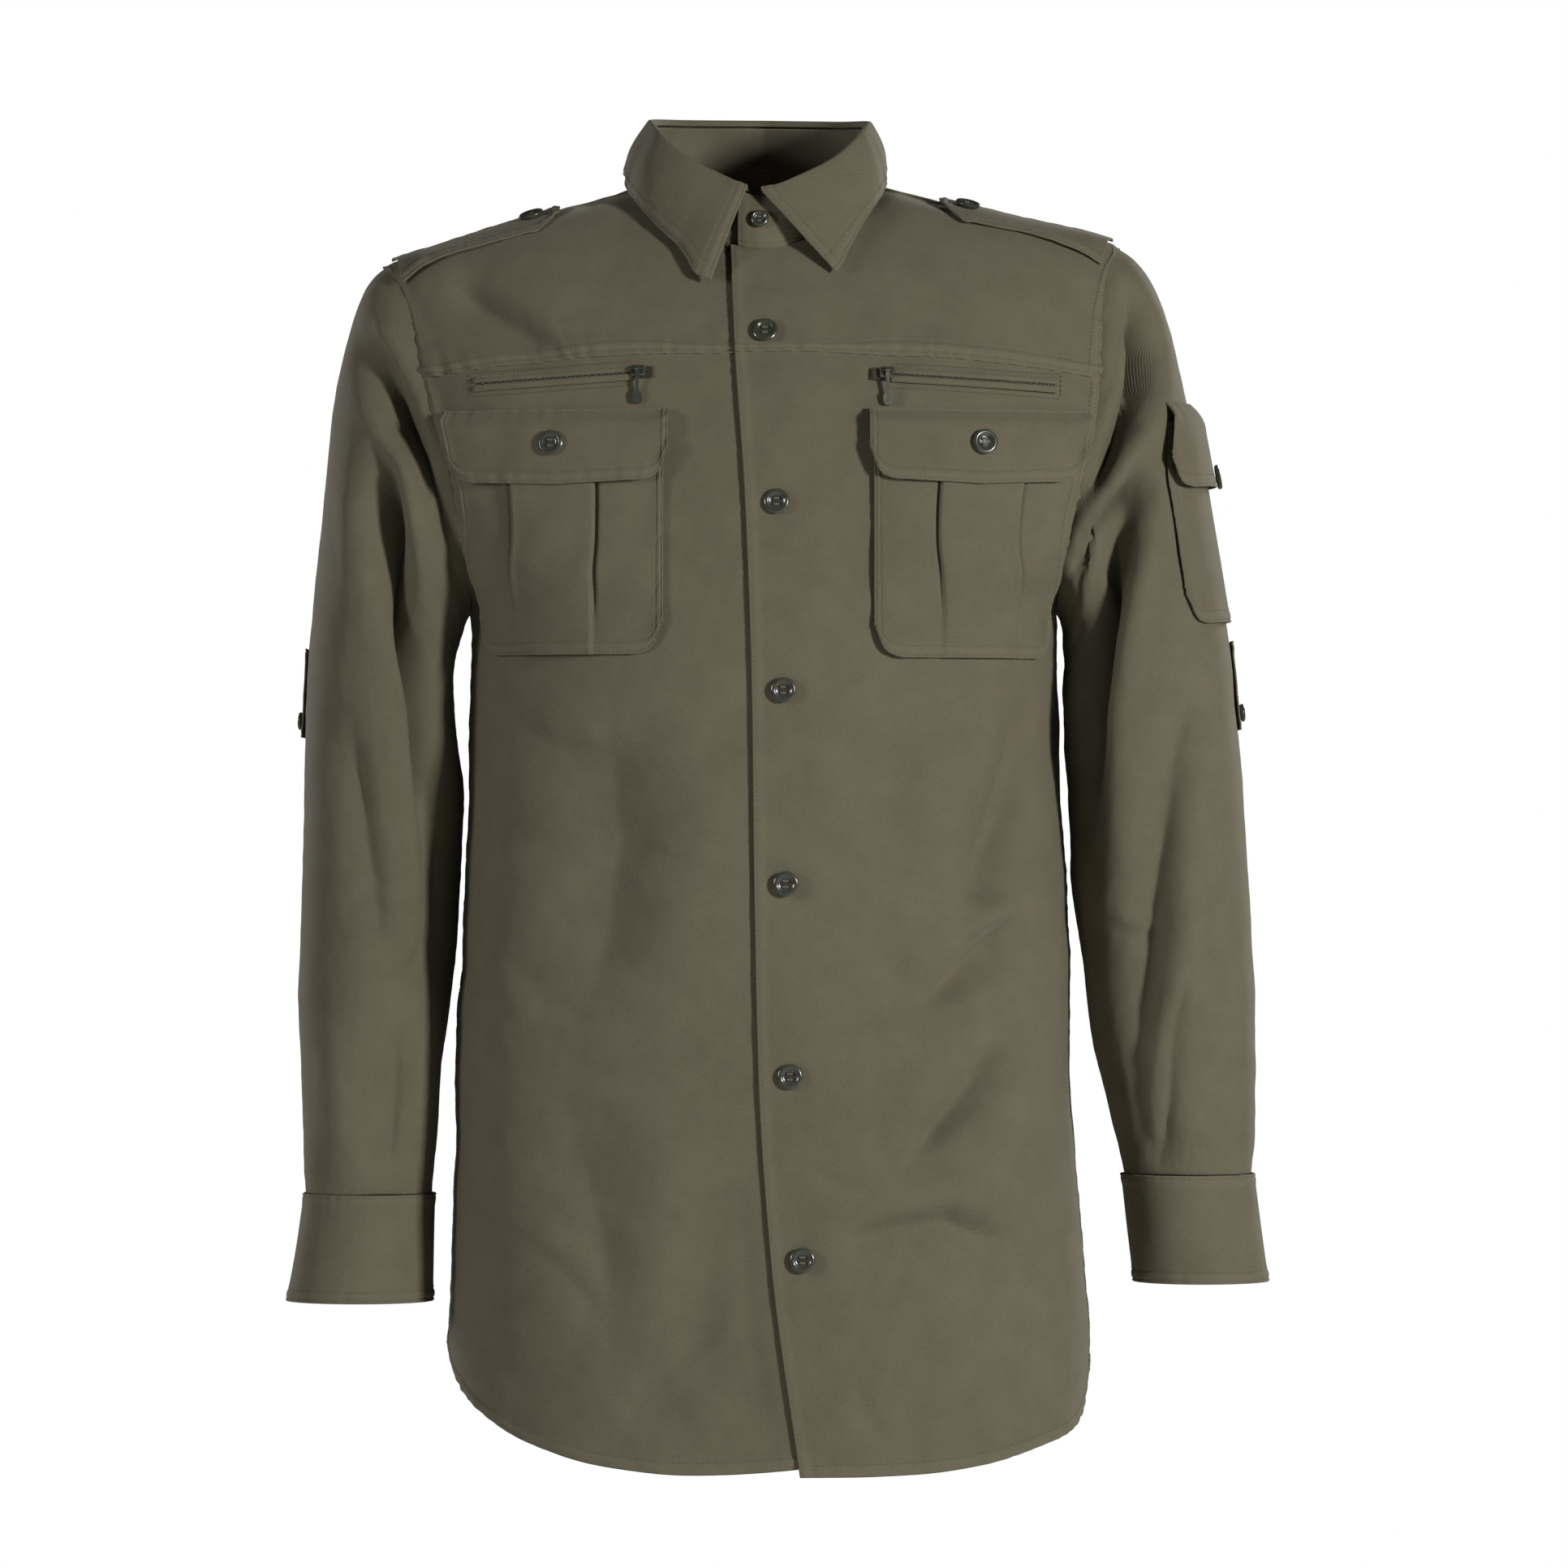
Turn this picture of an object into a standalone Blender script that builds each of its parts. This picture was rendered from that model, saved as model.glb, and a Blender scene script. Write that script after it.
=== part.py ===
"""Hunting shirt with long sleeves, filled out as if worn, front towards -Y.

All sizes below are in millimetres and turn into metres where a mesh is made.
Left and right are the wearer's: the wearer's left is at +X.
The origin is at the base of the neck, level with the inner ends of the shoulders.
"""
import math

import bmesh
import bpy
import numpy as np
from mathutils import Matrix, Vector

MM = 0.001
WALL = 1.3
STIFF_WALL = 1.7
SEAM = 0.5
LAY = 0.9
RIDGE_TRIM = 0.6
LAP = 2.3
FRONT, BACK = -1, 1
LEFT, RIGHT = 1, -1
SIDES = ((LEFT, "left"), (RIGHT, "right"))

NECK_HALF = {LEFT: 70.0, RIGHT: 76.0}
NECK_FRONT_DROP = 43.0
NECK_BACK_RISE = 10.0
NECK_SLOPE = 0.62
UNDERARM = 264.0
SHOULDER_DROP = {LEFT: 38.0, RIGHT: 50.0}
SHOULDER_HALF = {LEFT: 218.0, RIGHT: 231.0}
YOKE_DROP = 108.0
YOKE_SIDE_DIP = 13.0

PLACKET_WIDTH = 38.0
BUTTON_SIZE = 15.4
SMALL_BUTTON_SIZE = 11.0
BUTTON_GAP = 0.4
ROUND_BUTTON_GAP = 0.7

OLIVE = (0.105, 0.090, 0.056)
BUTTON_GREEN = (0.035, 0.038, 0.024)
ZIP_METAL = (0.16, 0.16, 0.13)


def table(names, rows):
    """Give each named column of the rows as an array."""
    values = np.array(rows, dtype=float)
    return {name: values[:, place] for place, name in enumerate(names)}


# Level sections of the body: half widths on each side, depths from the middle line, roundness.
BODY = table(
    ("drop", "right", "left", "front", "back", "middle", "power"),
    (
        (-14, 44, 40, 40, 66, 5, 2.2),
        (0, 76, 70, 32, 70, 5, 2.2),
        (20, 139, 148, 48, 84, 5, 2.2),
        (38, 195, 218, 64, 94, 5, 2.25),
        (52, 233, 228, 76, 101, 5, 2.3),
        (70, 237, 232, 88, 108, 5, 2.3),
        (100, 240, 236, 105, 116, 5, 2.3),
        (140, 239, 238, 121, 123, 4, 2.3),
        (180, 230, 234, 130, 127, 4, 2.3),
        (225, 205, 209, 134, 128, 3, 2.4),
        (250, 186, 188, 135, 127, 3, 2.4),
        (264, 179, 180, 135, 126, 3, 2.4),
        (300, 178, 180, 134, 122, 2, 2.4),
        (370, 180, 183, 133, 116, 0, 2.4),
        (430, 183, 186, 132, 113, 0, 2.4),
        (490, 186, 188, 131, 113, 0, 2.4),
        (590, 189, 191, 131, 117, 0, 2.4),
        (640, 190, 195, 132, 120, 0, 2.4),
        (700, 192, 200, 134, 124, 0, 2.4),
        (790, 192, 198, 136, 127, 0, 2.4),
    ),
)

# How far out the armhole seam lies, from the shoulder's end (0) down to the underarm (1).
ARMHOLE = table(
    ("down", "right_front", "right_back", "left_front", "left_back"),
    (
        (0.00, 231, 231, 218, 218),
        (0.09, 220, 228, 209, 216),
        (0.23, 211, 224, 205, 214),
        (0.37, 204, 219, 204, 211),
        (0.57, 192, 209, 198, 204),
        (0.78, 184, 194, 187, 194),
        (0.93, 180, 182, 181.5, 183),
        (1.00, 179, 179, 180, 180),
    ),
)

# Lower edge, from the middle (0) to the side seam (1).
HEM = table(
    ("across", "right_front", "left_front", "right_back", "left_back"),
    (
        (0.00, 777, 786, 781, 781),
        (0.15, 783, 786, 781, 781),
        (0.30, 785, 785, 780, 780),
        (0.45, 781, 781, 776, 777),
        (0.62, 768, 772, 765, 769),
        (0.78, 747, 763, 750, 760),
        (0.90, 727, 749, 729, 748),
        (1.00, 712, 727, 712, 727),
    ),
)

# The button line, which drifts to the wearer's left on its way down.
BUTTON_LINE = table(
    ("drop", "x"),
    ((40, -1), (97, 1.5), (200, 8.5), (313, 12.5), (430, 14), (545, 16.5), (656, 24), (790, 42)),
)
BUTTON_DROPS = (96.5, 199.5, 312.5, 429.0, 545.0, 655.5)

# Large folds: the side they lie on, their height out of the cloth, half width, and course in (x, z).
FOLDS = (
    (FRONT, -4.0, 15, ((-200, -62), (-165, -82), (-128, -102))),
    (FRONT, -5.0, 34, ((-96, -325), (-92, -410), (-105, -500))),
    (FRONT, 3.0, 26, ((-160, -420), (-150, -600))),
    (FRONT, 3.5, 26, ((-55, -560), (-75, -700))),
    (FRONT, -4.0, 20, ((-24, -640), (-45, -720), (-85, -760))),
    (FRONT, -5.5, 16, ((163, -318), (150, -370), (124, -448))),
    (FRONT, 4.0, 18, ((108, -330), (98, -420))),
    (FRONT, 4.5, 11, ((120, -458), (158, -440))),
    (FRONT, -5.0, 13, ((154, -462), (128, -482), (92, -506))),
    (FRONT, -5.0, 15, ((150, -528), (120, -560), (88, -596))),
    (FRONT, 3.5, 18, ((160, -570), (130, -610), (80, -640))),
    (FRONT, -3.5, 14, ((62, -650), (110, -634), (160, -652))),
    (BACK, -4.5, 26, ((-150, -110), (-105, -190), (-95, -280))),
    (BACK, -4.0, 26, ((148, -120), (110, -200), (104, -300))),
    (BACK, 3.5, 22, ((-60, -60), (-20, -150), (-15, -260))),
    (BACK, -4.5, 22, ((-165, -380), (-120, -430), (-60, -455))),
    (BACK, -4.0, 20, ((160, -400), (110, -450), (40, -470))),
    (BACK, 4.0, 28, ((-90, -500), (-110, -700))),
    (BACK, 4.0, 30, ((75, -520), (95, -720))),
    (BACK, -3.5, 24, ((-10, -560), (5, -740))),
)
FLAT_NEAR_MIDDLE = (24.0, 62.0)
FOLD_DEPTH = 1.25

SLEEVE_NAMES = ("outer", "outer_drop", "inner", "inner_drop", "middle", "half_depth")
SLEEVES = {
    RIGHT: table(
        SLEEVE_NAMES,
        (
            (231, 50, 179, 264, 3, 70),
            (242, 60, 181.5, 268, 3, 74),
            (251, 80, 184, 274, 3, 77),
            (258, 106, 186.5, 281, 3, 78),
            (264, 138, 188.5, 290, 3, 78),
            (268.5, 173, 190, 301, 2, 77),
            (272, 210, 190.3, 315, 2, 76),
            (276, 250, 189.5, 331, 1, 74),
            (279.5, 292, 186.8, 350, 0, 72),
            (281.5, 334, 184.6, 374, 0, 70),
            (282.5, 378, 184.8, 402, 0, 68),
            (283.5, 422, 186.5, 436, -1, 66),
            (284.5, 464, 188.8, 470, -3, 64),
            (285, 504, 192.5, 505, -6, 61),
            (284, 540, 197, 540, -9, 57),
            (283, 572, 199.5, 572, -11, 52),
            (282, 600, 201.5, 600, -13, 47),
            (280.5, 619, 203, 619, -14, 43),
        ),
    ),
    LEFT: table(
        SLEEVE_NAMES,
        (
            (218, 38, 180, 264, 3, 70),
            (231, 48, 182.5, 268, 3, 74),
            (243, 68, 184.5, 274, 3, 77),
            (252, 94, 185.3, 281, 3, 78),
            (259.5, 128, 185.6, 290, 3, 78),
            (266, 163, 185.4, 301, 2, 77),
            (273, 202, 185.2, 315, 2, 76),
            (281, 246, 185.6, 331, 1, 74),
            (287.5, 286, 186.6, 350, 0, 72),
            (291.5, 328, 188, 374, 0, 70),
            (295, 372, 189.4, 402, 0, 68),
            (298, 418, 191, 434, -1, 66),
            (300.5, 458, 195, 464, -3, 64),
            (302, 494, 198.5, 495, -6, 61),
            (302.5, 528, 203, 528, -9, 57),
            (302.5, 560, 211, 560, -11, 52),
            (302, 588, 218, 588, -13, 47),
            (300.5, 607, 221.5, 607, -14, 43),
        ),
    ),
}
SLEEVE_POWER = 2.15
ARMHOLE_BLEND = 6.0

# Sleeve folds, as for the body, with courses in (x, z) as seen from the front or the back.
SLEEVE_FOLDS = {
    RIGHT: (
        (FRONT, -8.0, 11, ((-252, -88), (-232, -130), (-208, -172), (-186, -232))),
        (FRONT, 5.0, 12, ((-240, -84), (-214, -120))),
        (FRONT, -6.5, 10, ((-236, -188), (-222, -250), (-200, -318))),
        (FRONT, 4.0, 13, ((-256, -180), (-244, -262))),
        (FRONT, -4.5, 15, ((-254, -330), (-242, -400), (-226, -480))),
        (FRONT, -3.5, 11, ((-226, -530), (-232, -618))),
        (FRONT, 3.0, 12, ((-262, -520), (-256, -600))),
        (BACK, -6.0, 12, ((-250, -110), (-222, -170), (-192, -236))),
        (BACK, -4.5, 13, ((-246, -250), (-222, -330), (-198, -380))),
        (BACK, 4.0, 15, ((-260, -360), (-240, -460))),
        (BACK, -4.0, 12, ((-222, -480), (-248, -560), (-246, -618))),
    ),
    LEFT: (
        (FRONT, -7.0, 11, ((220, -58), (236, -104), (214, -160), (184, -214))),
        (FRONT, 4.5, 12, ((226, -150), (204, -196))),
        (FRONT, -6.0, 11, ((238, -168), (216, -230), (194, -290))),
        (FRONT, -6.0, 15, ((270, -312), (244, -372), (236, -430), (228, -536))),
        (FRONT, 4.0, 14, ((262, -420), (258, -520))),
        (FRONT, -3.5, 11, ((240, -520), (246, -606))),
        (BACK, -6.0, 12, ((240, -100), (218, -160), (190, -226))),
        (BACK, -4.5, 13, ((262, -260), (232, -340), (204, -390))),
        (BACK, 4.0, 15, ((272, -380), (250, -480))),
        (BACK, -4.0, 12, ((236, -470), (262, -540), (266, -606))),
    ),
}

CUFF_NAMES = ("along", "outer", "inner", "drop", "middle", "half_depth")
CUFFS = {
    RIGHT: table(CUFF_NAMES, ((0, 282, 201.5, 620, -14, 44.5), (1, 286.5, 202, 652, -16, 45),
                              (2, 292.5, 202.5, 686, -18, 46))),
    LEFT: table(CUFF_NAMES, ((0, 302, 220, 608, -14, 44.5), (1, 306, 223.5, 640, -16, 45),
                             (2, 310.5, 227.5, 674, -18, 46))),
}
CUFF_OVERLAP = 24.0
CUFF_START = -70.0
CUFF_LAP = 2.6

# Collar, by the angle round the neck from the front middle: the fold line on top and the leaf's edge.
COLLAR_TOP = table(
    ("turn", "x", "y", "z"),
    (
        (-180, 0, 68, 43),
        (-135, -46, 50, 42),
        (-90, -66, 8, 39),
        (-62, -60, -24, 29),
        (-40, -44, -42, 13),
        (-20, -24, -51, 1.5),
        (0, -1, -55, -7),
        (20, 22, -51, 1.5),
        (40, 42, -42, 13),
        (62, 57, -24, 29),
        (90, 62, 8, 38),
        (135, 43, 50, 41),
        (180, 0, 68, 43),
    ),
)
LEAF_EDGE = table(
    ("turn", "x", "z"),
    (
        (-180, 0, 0),
        (-135, -60, 3),
        (-90, -86, 7),
        (-60, -78, -10),
        (-40, -68, -24),
        (-22, -50, -43),
        (-6.5, -31, -63.5),
        (0.5, 44, -58),
        (20, 52, -44),
        (40, 62, -25),
        (60, 71, -9),
        (90, 76, 7),
        (135, 56, 3),
        (180, 0, 0),
    ),
)
# Shoulder straps: how far from the middle the tip and the sewn end lie.
EPAULETTE = {LEFT: (108.0, 215.0), RIGHT: (124.0, 228.0)}
EPAULETTE_WIDTH = 46.0
EPAULETTE_LIFT = 2.9
EPAULETTE_BUTTON_IN = 17.0
EPAULETTE_FORWARD = 20.0
EPAULETTE_SKEW = 9.0

# Chest pockets: length along the chest from the middle to the inner edge, top and bottom heights.
POCKET = {LEFT: (67.0, -156.0, -293.0), RIGHT: (59.5, -156.0, -291.0)}
POCKET_WIDTH = 138.0
ARMHOLE_MARGIN = 6.0
POCKET_CORNER = 20.0
POCKET_LIFT = 2.8
POCKET_COLUMNS = (0, 0.03, 0.09, 0.2, 0.325, 0.345, 0.46, 0.57, 0.68, 0.70, 0.8, 0.91, 0.97, 1.0)
PLEAT = (0.33, 0.69)
PLEAT_HEIGHT = 2.4
FLAP_TOP = {LEFT: -142.5, RIGHT: -143.0}
FLAP_WIDTH = 144.0
FLAP_OVERHANG = 3.0
FLAP_HEIGHT = 43.0
FLAP_CORNER = 18.0
FLAP_TOP_LIFT = 2.1
FLAP_LIFT = 8.0
FLAP_COLUMNS = (0, 0.03, 0.08, 0.14, 0.26, 0.38, 0.5, 0.62, 0.74, 0.86, 0.92, 0.97, 1.0)

# Where the front and rear edges of the sleeve's pocket lie round the sleeve, by drop.
SLEEVE_POCKET_EDGES = table(
    ("drop", "front", "rear"),
    ((136, 42, -52), (165, 51, -47), (190, 57, -43), (278, 59, -40)),
)
SLEEVE_POCKET_LIFT = 2.1
SLEEVE_POCKET_PUFF = 2.5
SLEEVE_POCKET_WIDTH = 126.0
SLEEVE_POCKET_HEIGHTS = (-151.0, -274.0)
SLEEVE_POCKET_TILT = 4.0
SLEEVE_FLAP_HEIGHTS = (-140.0, -192.0)
SLEEVE_FLAP_OVERHANG = 0.02
SLEEVE_CORNER = 18.0
SLEEVE_FLAP_TOP_LIFT = 2.1
SLEEVE_FLAP_LIFT = 9.0
SLEEVE_BUTTON = (3.0, -182.0)
# Roll-up tabs: from and to along the sleeve's sections, and the turn they lie at.
SLEEVE_TAB = {LEFT: (7.88, 9.18, -4.0), RIGHT: (7.85, 9.15, -10.0)}
TAB_LIFT = 2.1
FRONT_LIFT = LAP + LAY + WALL

# Level chest zips: distances of both ends from the middle, and their heights.
ZIP = {LEFT: (66.0, 176.0, -121.5, -127.5), RIGHT: (66.0, 172.0, -120.5, -127.0)}
ZIP_TAPE = 7.0
ZIP_THICK = 1.0
ZIP_LIFT = 1.7
SLIDER_LENGTH = 9.0
SLIDER_WIDTH = 7.0
SLIDER_HIGH = 2.4
BRIDGE_BAR = 1.1
BRIDGE_SPAN = 5.4
BRIDGE_RISE = 1.9
PULL_LENGTH = 21.5
PULL_THICK = 1.2
EYE_OUTER = 1.5
EYE_HOLE = 0.95
EYE_WIDTH = 2.8

LEAF_FRONT = {RIGHT: -6.5, LEFT: 0.5}
LEAF_LIFT = 8.0
STAND_START = -11.0
STAND_LAP = 3.0
STAND_TOP_GAP = 3.4


def smooth(keys, values, at):
    """Read a smooth curve through the points, with no overshoot, at the given places."""
    step = np.diff(keys)
    slope = np.diff(values) / step
    tangent = np.concatenate(([slope[0]], np.zeros(len(step) - 1), [slope[-1]]))
    for i in range(1, len(step)):
        if slope[i - 1] * slope[i] > 0:
            before = 2 * step[i] + step[i - 1]
            after = step[i] + 2 * step[i - 1]
            tangent[i] = (before + after) / (before / slope[i - 1] + after / slope[i])
    at = np.asarray(at, dtype=float)
    i = np.clip(np.searchsorted(keys, at) - 1, 0, len(step) - 1)
    t = np.clip((at - keys[i]) / step[i], 0, 1)
    rise = values[i] * (2 * t**3 - 3 * t**2 + 1) + values[i + 1] * (3 * t**2 - 2 * t**3)
    lean = tangent[i] * (t**3 - 2 * t**2 + t) + tangent[i + 1] * (t**3 - t**2)
    return rise + lean * step[i]


def ease(value, start, end):
    """Go softly from 0 at start to 1 at end."""
    t = np.clip((value - start) / (end - start), 0, 1)
    return t * t * (3 - 2 * t)


def body_read(column, z):
    return smooth(BODY["drop"], BODY[column], -np.asarray(z, dtype=float))


def body_ring(x, z, face):
    """Half width, depth, middle and roundness of the level section through each point."""
    width = np.where(np.asarray(x) > 0, body_read("left", z), body_read("right", z))
    depth = body_read("front", z) if face == FRONT else body_read("back", z)
    return width, depth, body_read("middle", z), body_read("power", z)


def body_point(x, z, face):
    """Give the points of the smooth body at x and z, on its front or its back."""
    width, depth, middle, power = body_ring(x, z, face)
    inside = np.clip(1 - (np.abs(x) / width) ** power, 0, 1)
    return np.stack(np.broadcast_arrays(x, middle + face * depth * inside ** (1 / power), z), -1)


def body_level(points, face):
    x, y, z = np.moveaxis(points, -1, 0)
    width, depth, middle, power = body_ring(x, z, face)
    return (np.abs(x) / width) ** power + (np.abs(y - middle) / depth) ** power


def body_normal(points, face):
    """Give the outward direction of the smooth body at its points."""
    slopes = [body_level(points + step, face) - body_level(points - step, face) for step in np.eye(3)]
    slopes = np.stack(slopes, -1)
    return slopes / np.linalg.norm(slopes, axis=-1, keepdims=True)


def fold_height(x, z, face, folds):
    """Add up the folds on one side: soft ridges and troughs that fade out at their ends."""
    total = np.zeros(np.shape(x))
    for side, height, width, course in folds:
        if side != face:
            continue
        nearest = np.full(np.shape(x), 1e9)
        along = np.zeros(np.shape(x))
        for leg, (start, end) in enumerate(zip(course[:-1], course[1:])):
            run = np.subtract(end, start)
            part = ((x - start[0]) * run[0] + (z - start[1]) * run[1]) / run.dot(run)
            part = np.clip(part, 0, 1)
            distance = np.hypot(x - start[0] - part * run[0], z - start[1] - part * run[1])
            closer = distance < nearest
            nearest = np.where(closer, distance, nearest)
            along = np.where(closer, (leg + part) / (len(course) - 1), along)
        fade = 0.35 + 0.65 * np.minimum(ease(along, 0, 0.3), ease(1 - along, 0, 0.3))
        total += FOLD_DEPTH * height * fade * np.exp(-((nearest / width) ** 2))
    return total


def quarter_ring(z, side, face):
    """Sample a quarter of a level section from the middle to the side: x and length along it."""
    turn = np.linspace(0, math.pi / 2, 121)
    width, depth, _, power = (float(v) for v in body_ring(side, z, face))
    x = width * np.sin(turn) ** (2 / power)
    y = depth * np.cos(turn) ** (2 / power)
    length = np.concatenate(([0], np.cumsum(np.hypot(np.diff(x), np.diff(y)))))
    return x, length


def arc_of(x, z, side, face):
    """Length along the section from the middle to x, counted towards the given side."""
    across = x * side
    xs, lengths = quarter_ring(z, side, face)
    return across if across < 0 else float(np.interp(across, xs, lengths))


def x_of(arc, z, side, face):
    xs, lengths = quarter_ring(z, side, face)
    return side * (arc if arc < 0 else float(np.interp(arc, lengths, xs)))


def armhole_x(z, side, face):
    top = SHOULDER_DROP[side]
    name = ("left" if side == LEFT else "right") + ("_front" if face == FRONT else "_back")
    reach = float(smooth(ARMHOLE["down"], ARMHOLE[name], (-z - top) / (UNDERARM - top)))
    return side * min(reach, float(body_ring(side, z, face)[0]))


def side_arc(z, side, face):
    """Length from the middle to the side seam, or to the armhole above the underarm."""
    if -z >= UNDERARM:
        return quarter_ring(z, side, face)[1][-1] - SEAM / 2
    return arc_of(armhole_x(z, side, face), z, side, face)


def hem_drop(across, side, face):
    name = ("left" if side == LEFT else "right") + ("_front" if face == FRONT else "_back")
    return float(smooth(HEM["across"], HEM[name], across))


def yoke_z(x):
    return -(YOKE_DROP + YOKE_SIDE_DIP * min(1.0, abs(x) / 200) ** 3)


def button_x(z):
    return float(smooth(BUTTON_LINE["drop"], BUTTON_LINE["x"], -z))


def placket_edge(z):
    return button_x(z) - PLACKET_WIDTH / 2


def neck_half(x):
    return NECK_HALF[LEFT if x > 0 else RIGHT]


def shoulder_z(x):
    """Height of the shoulder line or, inside it, of the front neckline."""
    if abs(x) < neck_half(x):
        return -NECK_FRONT_DROP * (1 - (x / neck_half(x)) ** 2)
    drops = np.linspace(0, 52, 105)
    widths = body_read("left" if x > 0 else "right", -drops)
    return -float(np.interp(abs(x), widths, drops))


def back_top_z(x):
    if abs(x) < neck_half(x):
        return NECK_BACK_RISE * (1 - (x / neck_half(x)) ** 2)
    return shoulder_z(x)


def evenly(points, count, trim=0.0):
    """Place count + 1 points evenly along a line of close points, stopping trim short of its end."""
    lengths = np.concatenate(([0], np.cumsum(np.linalg.norm(np.diff(points, axis=0), axis=1))))
    at = np.linspace(0, lengths[-1] - trim, count + 1)
    return np.stack([np.interp(at, lengths, points[:, axis]) for axis in range(3)], -1)


def shoulder_column(bottom_x, top_x, start_z, top_z, edge, face, count):
    """A line of body points from start_z up and over to the shoulder line or neckline."""
    rise = 1 - (1 - np.linspace(0, 1, 80)) ** 2.2
    zs = start_z + (top_z - start_z) * rise
    xs = bottom_x + (top_x - bottom_x) * (zs - start_z) / (top_z - start_z)
    if edge is not None:
        side, weight = edge
        seam = np.array([armhole_x(z, side, face) for z in zs])
        straight = seam[0] + (seam[-1] - seam[0]) * (zs - start_z) / (top_z - start_z)
        xs = xs + weight**2 * (seam - straight)
    trim = RIDGE_TRIM if abs(top_x) >= neck_half(top_x) else 0.0
    return evenly(body_point(xs, zs, face), count, trim)


def lift_points(points, face, lift=0.0):
    """Move smooth body points out by the folds and by lift."""
    x, z = points[..., 0], points[..., 2]
    height = fold_height(x, z, face, FOLDS)
    if face == FRONT:
        middle_line = smooth(BUTTON_LINE["drop"], BUTTON_LINE["x"], -z)
        height = height * ease(np.abs(x - middle_line), *FLAT_NEAR_MIDDLE)
    normal = body_normal(points, face)
    facing = np.clip(face * normal[..., 1] * 1.6, 0, 1)
    return points + normal * (height * facing + lift)[..., None]


def front_columns(z, side, count):
    """Places across one front at height z: the placket's width first, then even steps."""
    edge = placket_edge(z)
    end = side_arc(z, side, FRONT)
    if side == LEFT:
        starts = [edge, edge + PLACKET_WIDTH / 2, edge + PLACKET_WIDTH]
    else:
        starts = [edge + 0.8 * PLACKET_WIDTH]
    arcs = [arc_of(x, z, side, FRONT) for x in starts]
    steps = count + 1 - len(starts)
    arcs += [arcs[-1] + (end - arcs[-1]) * (i + 1) / steps for i in range(steps)]
    return [x_of(arc, z, side, FRONT) for arc in arcs]


FRONT_COLUMNS = 12
FRONT_ROWS_LOW = 19
FRONT_ROWS_HIGH = 7
YOKE_ROWS = 5
BACK_COLUMNS = 18
BACK_ROWS_LOW = 18
BACK_ROWS_MID = 7
BACK_ROWS_TOP = 5


def front_grid(side):
    """Smooth body points of a lower front, rows from the hem up, columns from the middle out."""
    rows = []
    for row in range(FRONT_ROWS_LOW + FRONT_ROWS_HIGH + 1):
        points = []
        for column in range(FRONT_COLUMNS + 1):
            across = column / FRONT_COLUMNS
            if row <= FRONT_ROWS_LOW:
                hem = hem_drop(across, side, FRONT)
                z = -(hem + (UNDERARM - hem) * row / FRONT_ROWS_LOW)
            else:
                up = (row - FRONT_ROWS_LOW) / FRONT_ROWS_HIGH
                reach = front_columns(-YOKE_DROP, side, FRONT_COLUMNS)[column]
                z = -UNDERARM + (yoke_z(reach) - SEAM / 2 + UNDERARM) * up
            x = front_columns(z, side, FRONT_COLUMNS)[column]
            points.append(body_point(x, z, FRONT))
        rows.append(points)
    return np.array(rows)


def yoke_grid(side):
    """Smooth body points of a front yoke, rows from the chest seam up to shoulder and neckline."""
    columns = []
    bottom = front_columns(-YOKE_DROP, side, FRONT_COLUMNS)
    first = 2 if side == LEFT else 0
    end = side * SHOULDER_HALF[side]
    for column, start_x in enumerate(bottom):
        start_z = yoke_z(start_x) + SEAM / 2
        if column == FRONT_COLUMNS:
            start_x = armhole_x(start_z, side, FRONT)
        if column < first or column == first == 0:
            shift = start_x - placket_edge(-YOKE_DROP)
            top_x = placket_edge(-NECK_FRONT_DROP) + shift
        else:
            across = (column - first) / (FRONT_COLUMNS - first)
            begin = placket_edge(-NECK_FRONT_DROP) + bottom[first] - placket_edge(-YOKE_DROP)
            top_x = begin + (end - begin) * across
        edge = (side, column / FRONT_COLUMNS) if column > FRONT_COLUMNS / 2 else None
        columns.append(shoulder_column(start_x, top_x, start_z, shoulder_z(top_x), edge, FRONT, YOKE_ROWS))
    return np.array(columns).swapaxes(0, 1)


def back_grid():
    """Smooth body points of the back, rows from the hem up, columns from right to left."""
    columns = []
    high = -YOKE_DROP - YOKE_SIDE_DIP
    for column in range(BACK_COLUMNS + 1):
        across = 2 * column / BACK_COLUMNS - 1
        side = RIGHT if across < 0 else LEFT
        share = abs(across)
        hem = hem_drop(share, side, BACK)
        levels = [-(hem + (UNDERARM - hem) * i / BACK_ROWS_LOW) for i in range(BACK_ROWS_LOW + 1)]
        levels += [-UNDERARM + (high + UNDERARM) * i / BACK_ROWS_MID for i in range(1, BACK_ROWS_MID)]
        points = [body_point(x_of(share * side_arc(z, side, BACK), z, side, BACK), z, BACK) for z in levels]
        start_x = x_of(share * side_arc(high, side, BACK), high, side, BACK)
        top_x = across * SHOULDER_HALF[side]
        edge = (side, share) if share > 0.5 else None
        top = shoulder_column(start_x, top_x, high, back_top_z(top_x), edge, BACK, BACK_ROWS_TOP)
        columns.append(np.concatenate((points, top)))
    return np.array(columns).swapaxes(0, 1)


def armhole_ring(side, front, yoke, back):
    """The armhole's points in turn: shoulder end, down the front, underarm, up the back."""
    seam = back[:, -1] if side == LEFT else back[:, 0]
    down_front = np.concatenate((yoke[::-1, -1][:-1], front[::-1, -1][:FRONT_ROWS_HIGH + 1]))
    up_back = seam[BACK_ROWS_LOW + 1:-1]
    return np.concatenate((down_front, up_back))


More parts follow.
